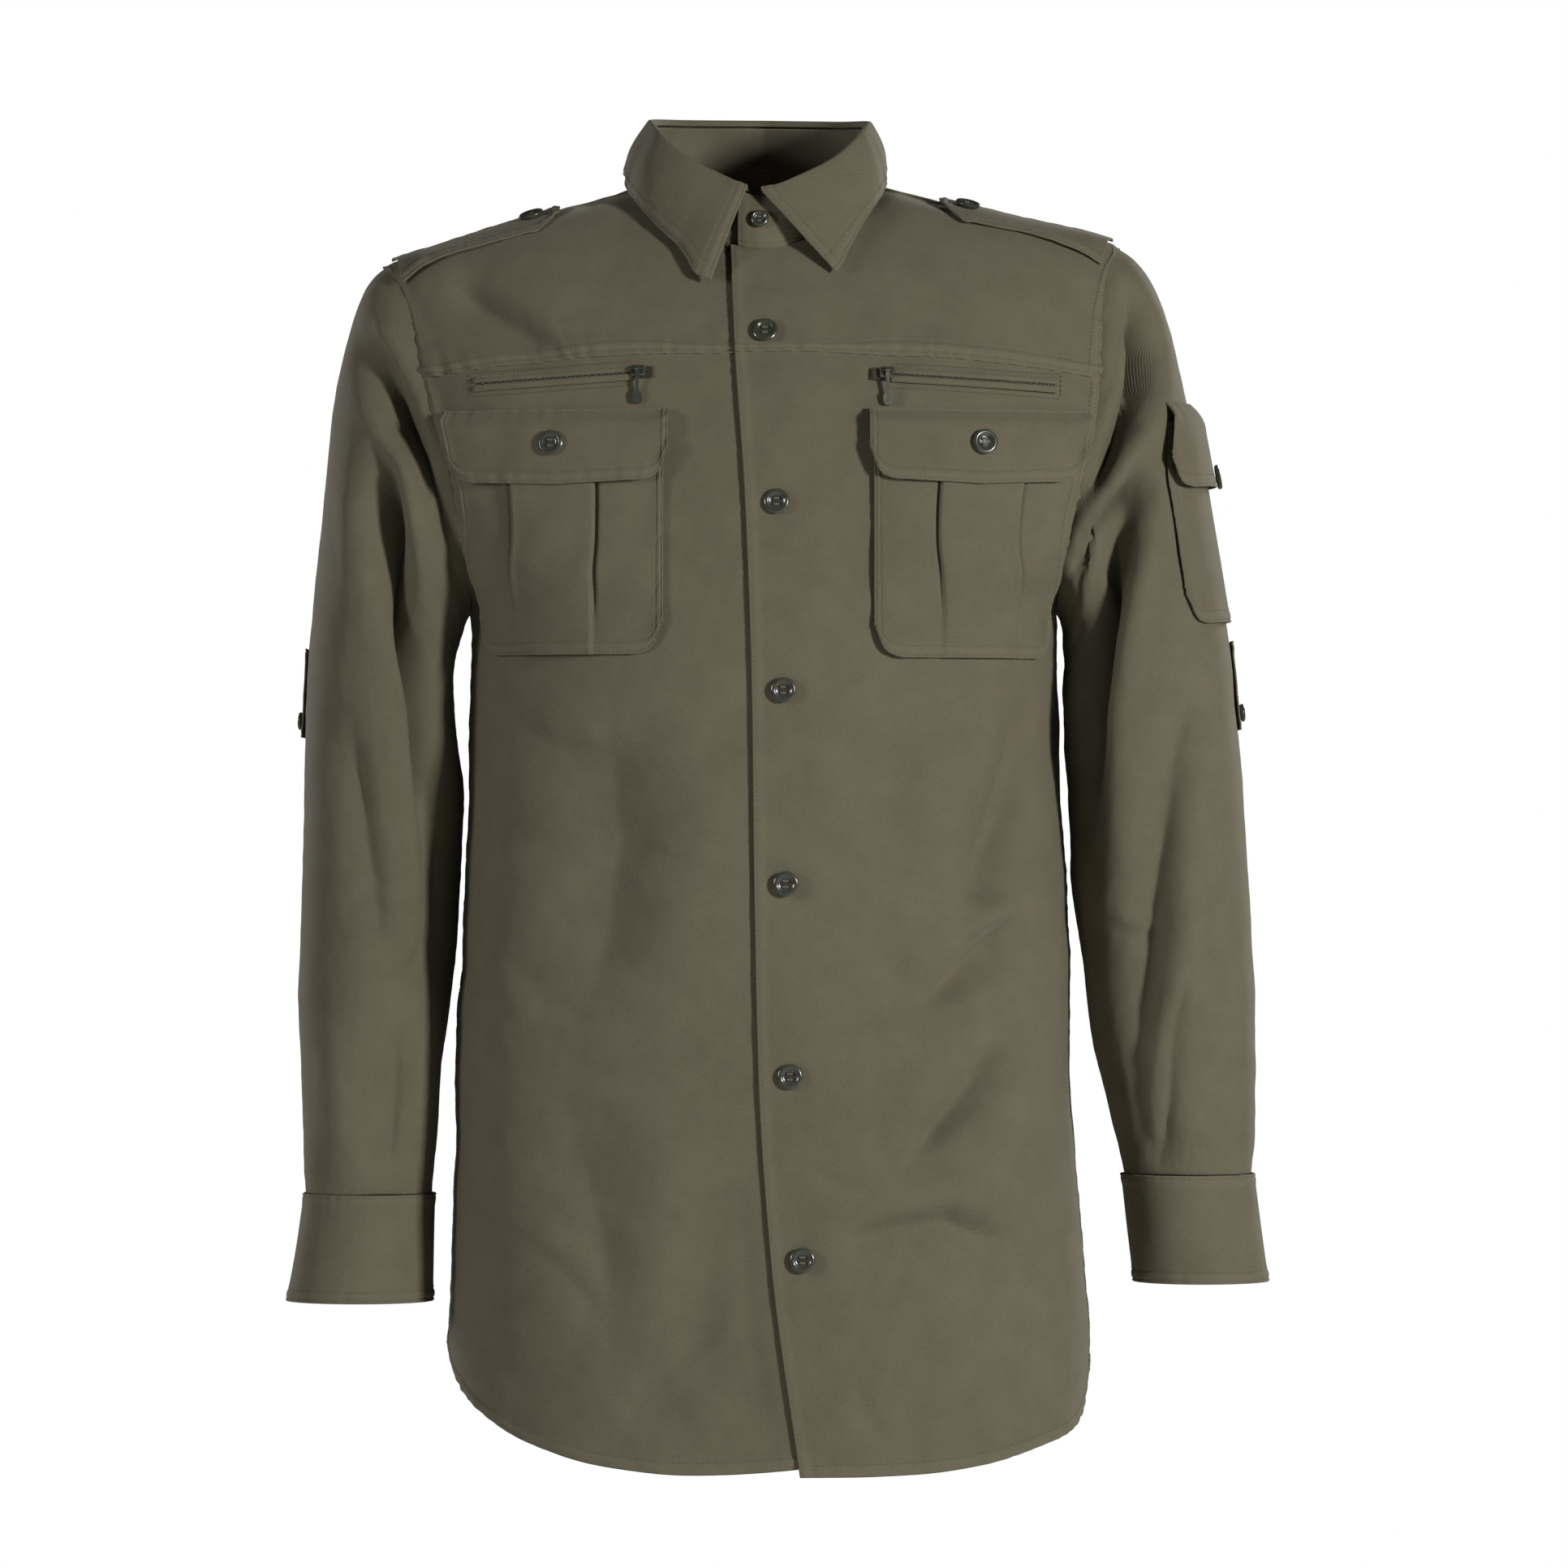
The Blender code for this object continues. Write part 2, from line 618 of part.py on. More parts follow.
class Sleeve:
    """The outer surface of one sleeve, from its armhole seam (0) to the cuff."""

    def __init__(self, side, ring):
        self.side = side
        self.sections = SLEEVES[side]
        self.keys = np.arange(len(self.sections["outer"]), dtype=float)
        centre, outward, depth = self.frame(0.0)
        flat = outward / np.linalg.norm(outward)
        away = np.cross(flat, (0, 1, 0))
        offset = ring - centre
        self.out = offset @ flat / np.linalg.norm(outward)
        self.forward = -offset[:, 1] / depth
        self.aside = offset @ away
        turns = np.unwrap(np.arctan2(self.forward, self.out))
        self.start_turns = turns - turns[0]
        self.count = len(ring)

    def read(self, name, along):
        return float(smooth(self.keys, self.sections[name], along))

    def frame(self, along):
        """Centre, vector to the outer edge and half depth of the section there."""
        outer = np.array((self.side * self.read("outer", along), 0, -self.read("outer_drop", along)))
        inner = np.array((self.side * self.read("inner", along), 0, -self.read("inner_drop", along)))
        centre = (outer + inner) / 2
        centre[1] = self.read("middle", along)
        return centre, (outer - inner) / 2, self.read("half_depth", along)

    def loop(self, turn):
        """The armhole's own shape at a turn, as shares of the section and a step aside."""
        turns = np.degrees(self.start_turns)
        turns = np.concatenate((turns, [360.0]))
        return [float(np.interp(turn % 360, turns, np.append(values, values[0])))
                for values in (self.out, self.forward, self.aside)]

    def smooth_point(self, along, turn):
        """Turn runs from the outer edge (0) to the front (90), inner edge (180) and back (270)."""
        centre, outward, depth = self.frame(along)
        c, s = math.cos(math.radians(turn)), math.sin(math.radians(turn))
        reach = (abs(c) ** SLEEVE_POWER + abs(s) ** SLEEVE_POWER) ** (-1 / SLEEVE_POWER)
        base = centre + outward * c * reach + np.array((0, -depth * s * reach, 0))
        keep = 1 - float(ease(along, 0, ARMHOLE_BLEND))
        if keep == 0:
            return base
        out, forward, aside = self.loop(turn)
        away = np.cross(outward / np.linalg.norm(outward), (0, 1, 0))
        seam = centre + outward * out + np.array((0, -depth * forward, 0)) + away * aside
        return base + (seam - base) * keep

    def point(self, along, turn, lift=0.0):
        """A point of the folded sleeve, moved out by lift."""
        base = self.smooth_point(along, turn)
        across = self.smooth_point(along, turn + 2) - self.smooth_point(along, turn - 2)
        down = self.smooth_point(along + 0.2, turn) - self.smooth_point(max(0.0, along - 0.2), turn)
        normal = np.cross(across, down) * self.side
        normal = normal / np.linalg.norm(normal)
        face = FRONT if normal[1] < 0 else BACK
        height = float(fold_height(base[0], base[2], face, SLEEVE_FOLDS[self.side]))
        facing = min(1.0, abs(normal[1]) * 1.5) * float(ease(along, 0, 2.5))
        return base + normal * (height * facing + lift)

    def along_at(self, z, turn):
        """How far along the sleeve its line at a turn reaches height z."""
        alongs = np.linspace(0, 12, 61)
        drops = [-self.smooth_point(along, turn)[2] for along in alongs]
        return float(np.interp(-z, drops, alongs))

    def trim_rows(self, places, heights, overhang, lift_at, count):
        """Points of a patch on the sleeve with rounded lower corners; places run across its front."""
        top, bottom = heights
        rows = []
        for down in np.linspace(0, 1, count):
            row = []
            for across in places:
                z = top + (bottom + corner_rise(across, SLEEVE_POCKET_WIDTH, SLEEVE_CORNER) - top) * down
                first, last = (float(smooth(SLEEVE_POCKET_EDGES["drop"], SLEEVE_POCKET_EDGES[name], -z))
                               for name in ("front", "rear"))
                turn = first + (across * (1 + 2 * overhang) - overhang) * (last - first)
                z += SLEEVE_POCKET_TILT * math.cos(math.radians(turn))
                row.append(self.point(self.along_at(z, turn), turn, lift_at(across, down)))
            rows.append(row)
        return rows

    def grid(self):
        """Rows of points from the armhole down, each once round the sleeve."""
        even = np.arange(self.count) * 360 / self.count
        first = np.degrees(self.start_turns)
        rows = []
        for along in self.keys:
            keep = 1 - float(ease(along, 0, ARMHOLE_BLEND))
            turns = first * keep + even * (1 - keep)
            rows.append([self.point(along, turn) for turn in turns])
        rows = np.array(rows)
        rows[0] = [self.smooth_point(0.0, turn) for turn in first]
        start = rows[1] - rows[0]
        rows[0] += start / np.linalg.norm(start, axis=1, keepdims=True) * 2 * SEAM
        return rows


parts = bpy.data.collections.new("hunting_shirt")
cutters = bpy.data.collections.new("cutters")


def clear_scene():
    for thing in list(bpy.data.objects):
        bpy.data.objects.remove(thing, do_unlink=True)
    bpy.context.scene.collection.children.link(parts)
    bpy.context.scene.collection.children.link(cutters)


def material(name, colour, roughness, metallic=0.0):
    made = bpy.data.materials.new(name)
    made.use_nodes = True
    shader = made.node_tree.nodes["Principled BSDF"]
    shader.inputs["Base Color"].default_value = (*colour, 1)
    shader.inputs["Roughness"].default_value = roughness
    shader.inputs["Metallic"].default_value = metallic
    return made


def add(name, mesh, colour=OLIVE, roughness=0.85, metallic=0.0):
    piece = bpy.data.objects.new(name, mesh)
    parts.objects.link(piece)
    if not mesh.materials:
        mesh.materials.append(material(name, colour, roughness, metallic))
    return piece


def cloth(name, rows, outside, thickness=WALL, closed=False):
    """A wall from rows of outer points in millimetres, with its thickness on the inner side."""
    rows = np.asarray(rows, dtype=float)
    count_rows, count = rows.shape[:2]
    faces = []
    for r in range(count_rows - 1):
        for c in range(count if closed else count - 1):
            following = (c + 1) % count
            faces.append((r * count + c, r * count + following,
                          (r + 1) * count + following, (r + 1) * count + c))
    points = rows.reshape(-1, 3)
    first, second, third, _ = faces[len(faces) // 2]
    turn = np.cross(points[second] - points[first], points[third] - points[first])
    if turn @ np.asarray(outside(points[first]), dtype=float) < 0:
        faces = [face[::-1] for face in faces]
    mesh = bpy.data.meshes.new(name)
    mesh.from_pydata((points * MM).tolist(), [], faces)
    mesh.shade_smooth()
    piece = add(name, mesh)
    wall = piece.modifiers.new("Wall", "SOLIDIFY")
    wall.thickness = thickness * MM
    wall.offset = -1
    return piece


def from_axis(x, y):
    """Make a rule that points away from an upright axis through x and y."""
    return lambda point: (point[0] - x, point[1] - y, 0)


def below(points, lift):
    """Slide points down the front by what lifting them out raises them at the neck."""
    return body_point(points[:, 0], points[:, 2] - NECK_SLOPE * np.asarray(lift), FRONT)


def build_panels():
    """Fronts, yokes, back and placket. Returns the grids that other pieces lie on."""
    back = back_grid()
    cloth("back", lift_points(back, BACK), from_axis(0, 0))
    grids = {"back": back}
    for side, word in SIDES:
        front = front_grid(side)
        yoke = yoke_grid(side)
        grids[side] = (front, yoke)
        for name, grid in (("front_", front), ("yoke_", yoke)):
            lifts = np.zeros(grid.shape[:2])
            if side == LEFT:
                lifts[:, :3] = FRONT_LIFT
                lifts[:, 3] = FRONT_LIFT * 0.4
            if name == "yoke_" and side == LEFT:
                grid = grid.copy()
                grid[-1, :5] = below(grid[-1, :5], lifts[-1, :5] + 1.0)
            cloth(name + word, lift_points(grid, FRONT, lifts), from_axis(0, 0))
    front, yoke = grids[LEFT]
    strip = np.concatenate((front[:, :3], yoke[1:, :3]))
    strip[-1] = below(strip[-1], LAP)
    cloth("placket", lift_points(strip, FRONT, LAP), from_axis(0, 0))
    return grids


def neckline(turn):
    """The neckline's point at an angle round the neck from the front middle."""
    s, c = math.sin(math.radians(turn)), math.cos(math.radians(turn))
    x = neck_half(s) * s
    if c > 0:
        return body_point(x, -NECK_FRONT_DROP * c * c, FRONT)
    return body_point(x, NECK_BACK_RISE * c * c, BACK)


def collar_top(turn):
    return np.array([float(smooth(COLLAR_TOP["turn"], COLLAR_TOP[axis], turn)) for axis in "xyz"])


def stand_lap(turn):
    """How far out the stand's upper end lies at the front, where it laps over the lower end."""
    return STAND_LAP * float(1 - ease(turn, 8, 30))


def stand_point(turn, share, out=0.0):
    """A point of the stand from its neck seam (0) to its top edge (1)."""
    wrapped = (turn + 180) % 360 - 180
    base = neckline(wrapped)
    away = np.array((base[0], base[1] - 5, 0))
    away = away / np.linalg.norm(away)
    lap = stand_lap(turn) + out
    rise = SEAM + 0.4 + 0.6 * float(1 - ease(abs(wrapped), 20, 40))
    base = base + away * (1.0 + lap) + np.array((0, 0, rise))
    high = collar_top(wrapped) + away * lap - np.array((0, 0, STAND_TOP_GAP))
    return base + (high - base) * share + away * 2.5 * math.sin(math.pi * share)


def build_collar():
    """The stand, lapped at the front, and the leaf that folds down over it."""
    turns = np.linspace(STAND_START, STAND_START + 380, 40)
    rows = [[stand_point(turn, share) for turn in turns] for share in (0.0, 0.35, 0.7, 1.0)]
    cloth("collar_stand", rows, from_axis(0, 8), thickness=STIFF_WALL)

    edge = LEAF_EDGE
    leaf_turns = np.linspace(LEAF_FRONT[LEFT], 360 + LEAF_FRONT[RIGHT], 33)
    rows = [[] for _ in range(8)]
    for turn in leaf_turns:
        wrapped = (turn + 180) % 360 - 180
        fold = collar_top(wrapped)
        away = np.array((fold[0], fold[1] - 8, 0))
        away = away / np.linalg.norm(away)
        x = float(smooth(edge["turn"], edge["x"], wrapped))
        z = float(smooth(edge["turn"], edge["z"], wrapped))
        end = leaf_end(x, z, wrapped)
        spread = stand_lap(wrapped) if wrapped > 0 else STAND_LAP * float(ease(wrapped, -22, -11))
        roll = fold + away * (6.5 + spread) + np.array((0, 0, -1.0))
        path = [fold + away * (0.3 + spread) + np.array((0, 0, -1.9)),
                fold + away * (1.6 + spread) + np.array((0, 0, 1.2)),
                fold + away * (4.1 + spread) + np.array((0, 0, 1.8)),
                roll]
        for share in (0.3, 0.55, 0.8, 1.0):
            bulge = away * 3.0 * math.sin(math.pi * share)
            path.append(roll + (end - roll) * share + bulge)
        for row, point in zip(rows, path):
            row.append(point)
    cloth("collar_leaf", rows, from_axis(0, 8), thickness=STIFF_WALL)


def leaf_end(x, z, turn):
    """Where the leaf's edge rests: over the yokes in front, over the back behind."""
    if abs(turn) < 75:
        base = body_point(x, min(z, shoulder_z(x) - 2), FRONT)
        base = base + body_normal(base, FRONT) * LEAF_LIFT
        base[2] = z
        return base
    lean = math.radians(turn)
    return np.array((x, 8 - 80 * math.cos(lean), z))


def build_sleeves(grids):
    """Both sleeves and cuffs. Returns the sleeves for what is sewn on them."""
    sleeves = {}
    for side, word in SIDES:
        front, yoke = grids[side]
        sleeve = Sleeve(side, armhole_ring(side, front, yoke, grids["back"]))
        sleeves[side] = sleeve
        rows = sleeve.grid()
        middle = rows[10].mean(axis=0)
        cloth("sleeve_" + word, rows, from_axis(middle[0], middle[1]), closed=True)
        build_cuff(side, word)
    return sleeves


def cuff_point(side, along, turn, lift=0.0):
    cuff = CUFFS[side]
    outer, inner, drop, middle, depth = (
        float(smooth(cuff["along"], cuff[name], along)) for name in CUFF_NAMES[1:])
    c, s = math.cos(math.radians(turn)), math.sin(math.radians(turn))
    reach_x = (outer - inner) / 2 + lift
    return np.array((side * ((outer + inner) / 2 + reach_x * c), middle - (depth + lift) * s, -drop))


def build_cuff(side, word):
    """A cuff whose end laps over its start behind the outer edge."""
    turns = np.linspace(CUFF_START, CUFF_START + 360 + CUFF_OVERLAP, 27)
    rows = []
    for along in (0, 0.7, 1.4, 2):
        row = []
        for turn in turns:
            past = turn - CUFF_START
            lift = CUFF_LAP * float(ease(past, 330, 358))
            row.append(cuff_point(side, along, turn, lift))
        rows.append(row)
    middle = np.mean(rows[1], axis=0)
    cloth("cuff_" + word, rows, from_axis(middle[0], middle[1]), thickness=STIFF_WALL)


def over_shoulder(x, across):
    """A smooth body point at x, some length over the shoulder line: negative is forward."""
    face = FRONT if across < 0 else BACK
    zs = shoulder_z(x) - 60 * np.linspace(0, 1, 80) ** 2
    line = body_point(np.full(80, x), zs, face)
    lengths = np.concatenate(([0], np.cumsum(np.linalg.norm(np.diff(line, axis=0), axis=1))))
    point = np.array([np.interp(abs(across), lengths, line[:, axis]) for axis in range(3)])
    return point, face


def lifted(point, face, lift):
    return lift_points(point[None], face, np.array([lift]))[0]


def build_epaulettes():
    """Straps over the shoulders, pointed towards the neck."""
    for side, word in SIDES:
        tip, end = EPAULETTE[side]
        rows = []
        for share in (0.0, 0.05, 0.14, 0.3, 0.5, 0.7, 0.86, 1.0):
            half = EPAULETTE_WIDTH / 2 * min(1.0, 0.16 + share / 0.14 * 0.84)
            half += 1.5 * share
            row = []
            for across in (-1, -0.5, 0, 0.5, 1):
                x = side * (tip + (end - tip - EPAULETTE_SKEW * (1 - across) / 2) * share)
                point, face = over_shoulder(x, across * half - EPAULETTE_FORWARD)
                row.append(lifted(point, face, EPAULETTE_LIFT))
            rows.append(row)
        cloth("epaulette_" + word, rows, lambda point: (0, 0, 1), thickness=STIFF_WALL)
        x = side * (tip + EPAULETTE_BUTTON_IN)
        point, face = over_shoulder(x, -EPAULETTE_FORWARD)
        place_button("epaulette_button_" + word, lifted(point, face, EPAULETTE_LIFT + BUTTON_GAP),
                     body_normal(point[None], face)[0], BUTTON_SIZE)


def chest_point(side, start, across, width, z, lift):
    """A point of the folded chest, a share of a width that ends short of the armhole seam."""
    room = side_arc(z, side, FRONT) - ARMHOLE_MARGIN - start
    x = x_of(start + across * min(width, room), z, side, FRONT)
    return lifted(body_point(np.array(x), np.array(z), FRONT), FRONT, lift)


def corner_rise(across, width, radius):
    """How much a rounded lower corner lifts the edge, near either end of a width."""
    near = min(across, 1 - across) * width
    return radius - math.sqrt(max(0.0, radius**2 - (radius - near) ** 2)) if near < radius else 0.0


def build_pockets():
    """Chest pockets with a raised box pleat each, and their flaps."""
    for side, word in SIDES:
        start, top, bottom = POCKET[side]
        rows = []
        for down in (0.0, 0.15, 0.3, 0.5, 0.7, 0.86, 0.95, 1.0):
            row = []
            for across in POCKET_COLUMNS:
                rise = corner_rise(across, POCKET_WIDTH, POCKET_CORNER)
                z = top + (bottom + rise - top) * down
                in_pleat = PLEAT[0] < across < PLEAT[1]
                lift = POCKET_LIFT + (PLEAT_HEIGHT * (1 - 0.45 * down**6) if in_pleat else 0.0)
                row.append(chest_point(side, start, across, POCKET_WIDTH, z, lift))
            rows.append(row)
        cloth("pocket_" + word, rows, lambda point: (0, -1, 0))
        rows = []
        for down in (0.0, 0.24, 0.62, 1.0):
            row = []
            for across in FLAP_COLUMNS:
                rise = corner_rise(across, FLAP_WIDTH, FLAP_CORNER)
                point = 3.0 * (1 - abs(2 * across - 1))
                height = FLAP_HEIGHT - rise + point
                lift = FLAP_TOP_LIFT + (FLAP_LIFT - FLAP_TOP_LIFT) * float(ease(down, 0, 0.24))
                z = FLAP_TOP[side] - height * down
                row.append(chest_point(side, start - FLAP_OVERHANG, across, FLAP_WIDTH, z, lift))
            rows.append(row)
        cloth("pocket_flap_" + word, rows, lambda point: (0, -1, 0))
        z = FLAP_TOP[side] - 0.5 * FLAP_HEIGHT
        spot = chest_point(side, start - FLAP_OVERHANG, 0.5, FLAP_WIDTH, z, FLAP_LIFT + BUTTON_GAP)
        base = chest_point(side, start - FLAP_OVERHANG, 0.5, FLAP_WIDTH, z, 0)
        place_button("pocket_button_" + word, spot, spot - base, BUTTON_SIZE)


def build_sleeve_trims(sleeves):
    """The pocket on the wearer's left sleeve, and the roll-up tabs."""
    sleeve = sleeves[LEFT]

    def pocket_lift(across, down):
        return SLEEVE_POCKET_LIFT + SLEEVE_POCKET_PUFF * math.sin(math.pi * across) ** 0.5 * (1 - 0.68 * down)

    def flap_lift(across, down):
        return SLEEVE_FLAP_TOP_LIFT + (SLEEVE_FLAP_LIFT - SLEEVE_FLAP_TOP_LIFT) * float(ease(down, 0, 0.2))

    places = np.linspace(0, 1, 11)
    rows = sleeve.trim_rows(places, SLEEVE_POCKET_HEIGHTS, 0.0, pocket_lift, 7)
    cloth("sleeve_pocket", rows, lambda point: (1, 0, 0))
    rows = sleeve.trim_rows(places, SLEEVE_FLAP_HEIGHTS, SLEEVE_FLAP_OVERHANG, flap_lift, 6)
    cloth("sleeve_pocket_flap", rows, lambda point: (1, 0, 0))
    turn, z = SLEEVE_BUTTON
    along = sleeve.along_at(z, turn)
    spot = sleeve.point(along, turn, SLEEVE_FLAP_LIFT + ROUND_BUTTON_GAP)
    place_button("sleeve_pocket_button", spot, spot - sleeve.point(along, turn), BUTTON_SIZE)
    for side, word in SIDES:
        sleeve = sleeves[side]
        begin, end, turn = SLEEVE_TAB[side]
        rows = []
        for along in np.linspace(begin, end, 6):
            rows.append([sleeve.point(along, turn + step, TAB_LIFT) for step in (-11, 0, 11)])
        cloth("sleeve_tab_" + word, rows, lambda point, way=side: (way, 0, 0))
        at = end - 0.24
        spot = sleeve.point(at, turn, TAB_LIFT + ROUND_BUTTON_GAP)
        place_button("tab_button_" + word, spot, spot - sleeve.point(at, turn), SMALL_BUTTON_SIZE)
        turn = CUFF_START + 366
        spot = cuff_point(side, 1.0, turn, CUFF_LAP + ROUND_BUTTON_GAP)
        place_button("cuff_button_" + word, spot, spot - cuff_point(side, 1.0, turn), BUTTON_SIZE)


button_meshes = {}


def button_mesh(size):
    """A turned button with a raised rim and a dished face, its flat back at z = 0."""
    if size in button_meshes:
        return button_meshes[size]
    radius = size / 2
    profile = ((0, 2.1), (0.55 * radius, 2.1), (0.74 * radius, 3.1), (radius, 1.9),
               (0.88 * radius, 0), (0, 0))
    shape = bpy.data.meshes.new("button_profile")
    edges = [(i, i + 1) for i in range(len(profile) - 1)]
    shape.from_pydata([(x * MM, 0, z * MM) for x, z in profile], edges, [])
    turned = bpy.data.objects.new("button_profile", shape)
    parts.objects.link(turned)
    screw = turned.modifiers.new("Turn", "SCREW")
    screw.steps = screw.render_steps = 12
    screw.use_merge_vertices = True
    screw.merge_threshold = 0.00001
    graph = bpy.context.evaluated_depsgraph_get()
    mesh = bpy.data.meshes.new_from_object(turned.evaluated_get(graph))
    mesh.name = "button"
    bpy.data.objects.remove(turned, do_unlink=True)
    mesh.materials.append(material("button", BUTTON_GREEN, 0.35))
    button_meshes[size] = mesh
    return mesh


def place_button(name, spot, normal, size):
    piece = add(name, button_mesh(size))
    piece.location = Vector(spot) * MM
    piece.rotation_euler = Vector(normal).to_track_quat("Z", "Y").to_euler()


def build_buttons():
    """The buttons down the front and on the collar stand."""
    for number, drop in enumerate(BUTTON_DROPS, start=1):
        z = -drop
        base = body_point(np.array(button_x(z)), np.array(z), FRONT)
        spot = lifted(base, FRONT, FRONT_LIFT + BUTTON_GAP)
        place_button(f"front_button_{number}", spot, body_normal(base[None], FRONT)[0], BUTTON_SIZE)
    lean = stand_point(-1, 0.6) - stand_point(-1, 0.4)
    normal = np.array((0, -lean[2], lean[1]))
    normal = normal / np.linalg.norm(normal)
    place_button("collar_button", stand_point(-1, 0.52) + normal * BUTTON_GAP, normal, SMALL_BUTTON_SIZE)


def closed_mesh(piece):
    """Replace an object and its modifiers by the closed mesh they give, with loose caps welded."""
    graph = bpy.context.evaluated_depsgraph_get()
    mesh = bpy.data.meshes.new_from_object(piece.evaluated_get(graph))
    work = bmesh.new()
    work.from_mesh(mesh)
    bmesh.ops.remove_doubles(work, verts=work.verts, dist=0.00001)
    bmesh.ops.recalc_face_normals(work, faces=work.faces)
    work.to_mesh(mesh)
    work.free()
    name, place, homes = piece.name, piece.matrix_world.copy(), list(piece.users_collection)
    bpy.data.objects.remove(piece, do_unlink=True)
    solid = bpy.data.objects.new(name, mesh)
    solid.matrix_world = place
    for collection in homes:
        collection.objects.link(solid)
    return solid


def build_zip(side, word):
    """A level chest zip: its tape, a slider with a bridge, and a pull that swings on the bridge."""
    start, end, z_start, z_end = ZIP[side]
    rows = []
    for above in (-0.5, 0.5):
        row = []
        for share in np.linspace(0, 1, 9):
            x = side * (start + (end - start) * share)
            z = z_start + (z_end - z_start) * share + above * ZIP_TAPE
            base = body_point(np.array(x), np.array(z), FRONT)
            row.append(lifted(base, FRONT, ZIP_LIFT))
        rows.append(row)
    cloth("zip_" + word, rows, lambda point: (0, -1, 0), thickness=ZIP_THICK)

    x, z = side * (start + SLIDER_LENGTH), z_start
    base = body_point(np.array(x), np.array(z), FRONT)
    normal = Vector(body_normal(base[None], FRONT)[0])
    ahead = body_point(np.array(x + side), np.array(z), FRONT) - base
    along = Vector(ahead)
    along = (along - normal * along.dot(normal)).normalized() * side
    up = normal.cross(along).normalized()
    turned = Matrix((along, up, normal)).transposed()
    seat = Vector(lifted(base, FRONT, ZIP_LIFT + BUTTON_GAP))

    bpy.ops.mesh.primitive_cube_add(size=1)
    body = bpy.context.object
    body.name = "zip_slider_" + word
    for link in list(body.users_collection):
        link.objects.unlink(body)
    parts.objects.link(body)
    body.data.transform(Matrix.Diagonal((SLIDER_LENGTH * MM, SLIDER_WIDTH * MM, SLIDER_HIGH * MM, 1)))
    body.data.transform(Matrix.Translation((0, 0, SLIDER_HIGH / 2 * MM)))
    bevel = body.modifiers.new("Edges", "BEVEL")
    bevel.width = 0.7 * MM
    bevel.segments = 1
    bridge = bridge_solid()
    joined = body.modifiers.new("Bridge", "BOOLEAN")
    joined.operation = "UNION"
    joined.object = bridge
    body.data.materials.append(material("zip_metal", ZIP_METAL, 0.4, 0.9))
    body.matrix_world = Matrix.Translation(seat * MM) @ turned.to_4x4()
    bridge.parent = body

    hinge = seat + normal * (SLIDER_HIGH + BRIDGE_RISE)
    straight_down = (Vector((0, 0, -1)) - along * -along.z).normalized()
    reach = Vector(lifted(body_point(np.array(x), np.array(z - PULL_LENGTH), FRONT), FRONT, 1.4))
    to_cloth = reach - hinge
    to_cloth = (to_cloth - along * to_cloth.dot(along)).normalized()
    hang = straight_down if straight_down.dot(normal) > to_cloth.dot(normal) else to_cloth
    build_pull(word, hinge, along, hang)


def bridge_solid():
    """The slider's bridge: a round bar on two posts, which is joined to the slider."""
    curve = bpy.data.curves.new("bridge", "CURVE")
    curve.dimensions = "3D"
    curve.bevel_depth = BRIDGE_BAR / 2 * MM
    curve.bevel_resolution = 1
    curve.use_fill_caps = True
    high = SLIDER_HIGH + BRIDGE_RISE
    half = BRIDGE_SPAN / 2
    course = ((-half - 0.5, SLIDER_HIGH - 0.6), (-half, high - 0.6), (-half + 0.6, high),
              (half - 0.6, high), (half, high - 0.6), (half + 0.5, SLIDER_HIGH - 0.6))
    spline = curve.splines.new("POLY")
    spline.points.add(len(course) - 1)
    for point, (x, z) in zip(spline.points, course):
        point.co = (x * MM, 0, z * MM, 1)
    tube = bpy.data.objects.new("bridge", curve)
    cutters.objects.link(tube)
    solid = closed_mesh(tube)
    solid.hide_render = True
    solid.display_type = "WIRE"
    return solid


def build_pull(word, hinge, along, hang):
    """The pull tab: a rolled eye round the bridge, a narrow neck and a rounded grip."""
    outline = ((1.3, 0.9), (1.3, 4.0), (1.0, 6.5), (1.0, 12.0), (1.5, 13.5), (2.9, 15.0), (3.1, 17.5),
               (2.9, 20.0), (1.6, PULL_LENGTH))
    corners = [(x, -down) for x, down in outline] + [(-x, -down) for x, down in reversed(outline)]
    curve = bpy.data.curves.new("zip_pull_" + word, "CURVE")
    curve.dimensions = "2D"
    curve.fill_mode = "BOTH"
    curve.extrude = PULL_THICK / 2 * MM
    spline = curve.splines.new("POLY")
    spline.points.add(len(corners) - 1)
    spline.use_cyclic_u = True
    for point, (x, y) in zip(spline.points, corners):
        point.co = (x * MM, y * MM, 0, 1)
    plate = bpy.data.objects.new("zip_pull_" + word, curve)
    parts.objects.link(plate)
    pull = closed_mesh(plate)
    for radius, width, action in ((EYE_OUTER, EYE_WIDTH, "UNION"), (EYE_HOLE, EYE_WIDTH * 2, "DIFFERENCE")):
        bpy.ops.mesh.primitive_cylinder_add(vertices=16, radius=radius * MM, depth=width * MM,
                                            rotation=(0, math.pi / 2, 0))
        round_piece = bpy.context.object
        for link in list(round_piece.users_collection):
            link.objects.unlink(round_piece)
        cutters.objects.link(round_piece)
        round_piece.hide_render = True
        round_piece.display_type = "WIRE"
        round_piece.parent = pull
        change = pull.modifiers.new(action.title(), "BOOLEAN")
        change.operation = action
        change.object = round_piece
    pull.data.materials.append(material("zip_metal", ZIP_METAL, 0.4, 0.9))
    outward = along.cross(hang).normalized()
    if outward.y > 0:
        outward = -outward
    across = (-hang).cross(outward).normalized()
    turned = Matrix((across, -hang, outward)).transposed()
    pull.matrix_world = Matrix.Translation(hinge * MM) @ turned.to_4x4()


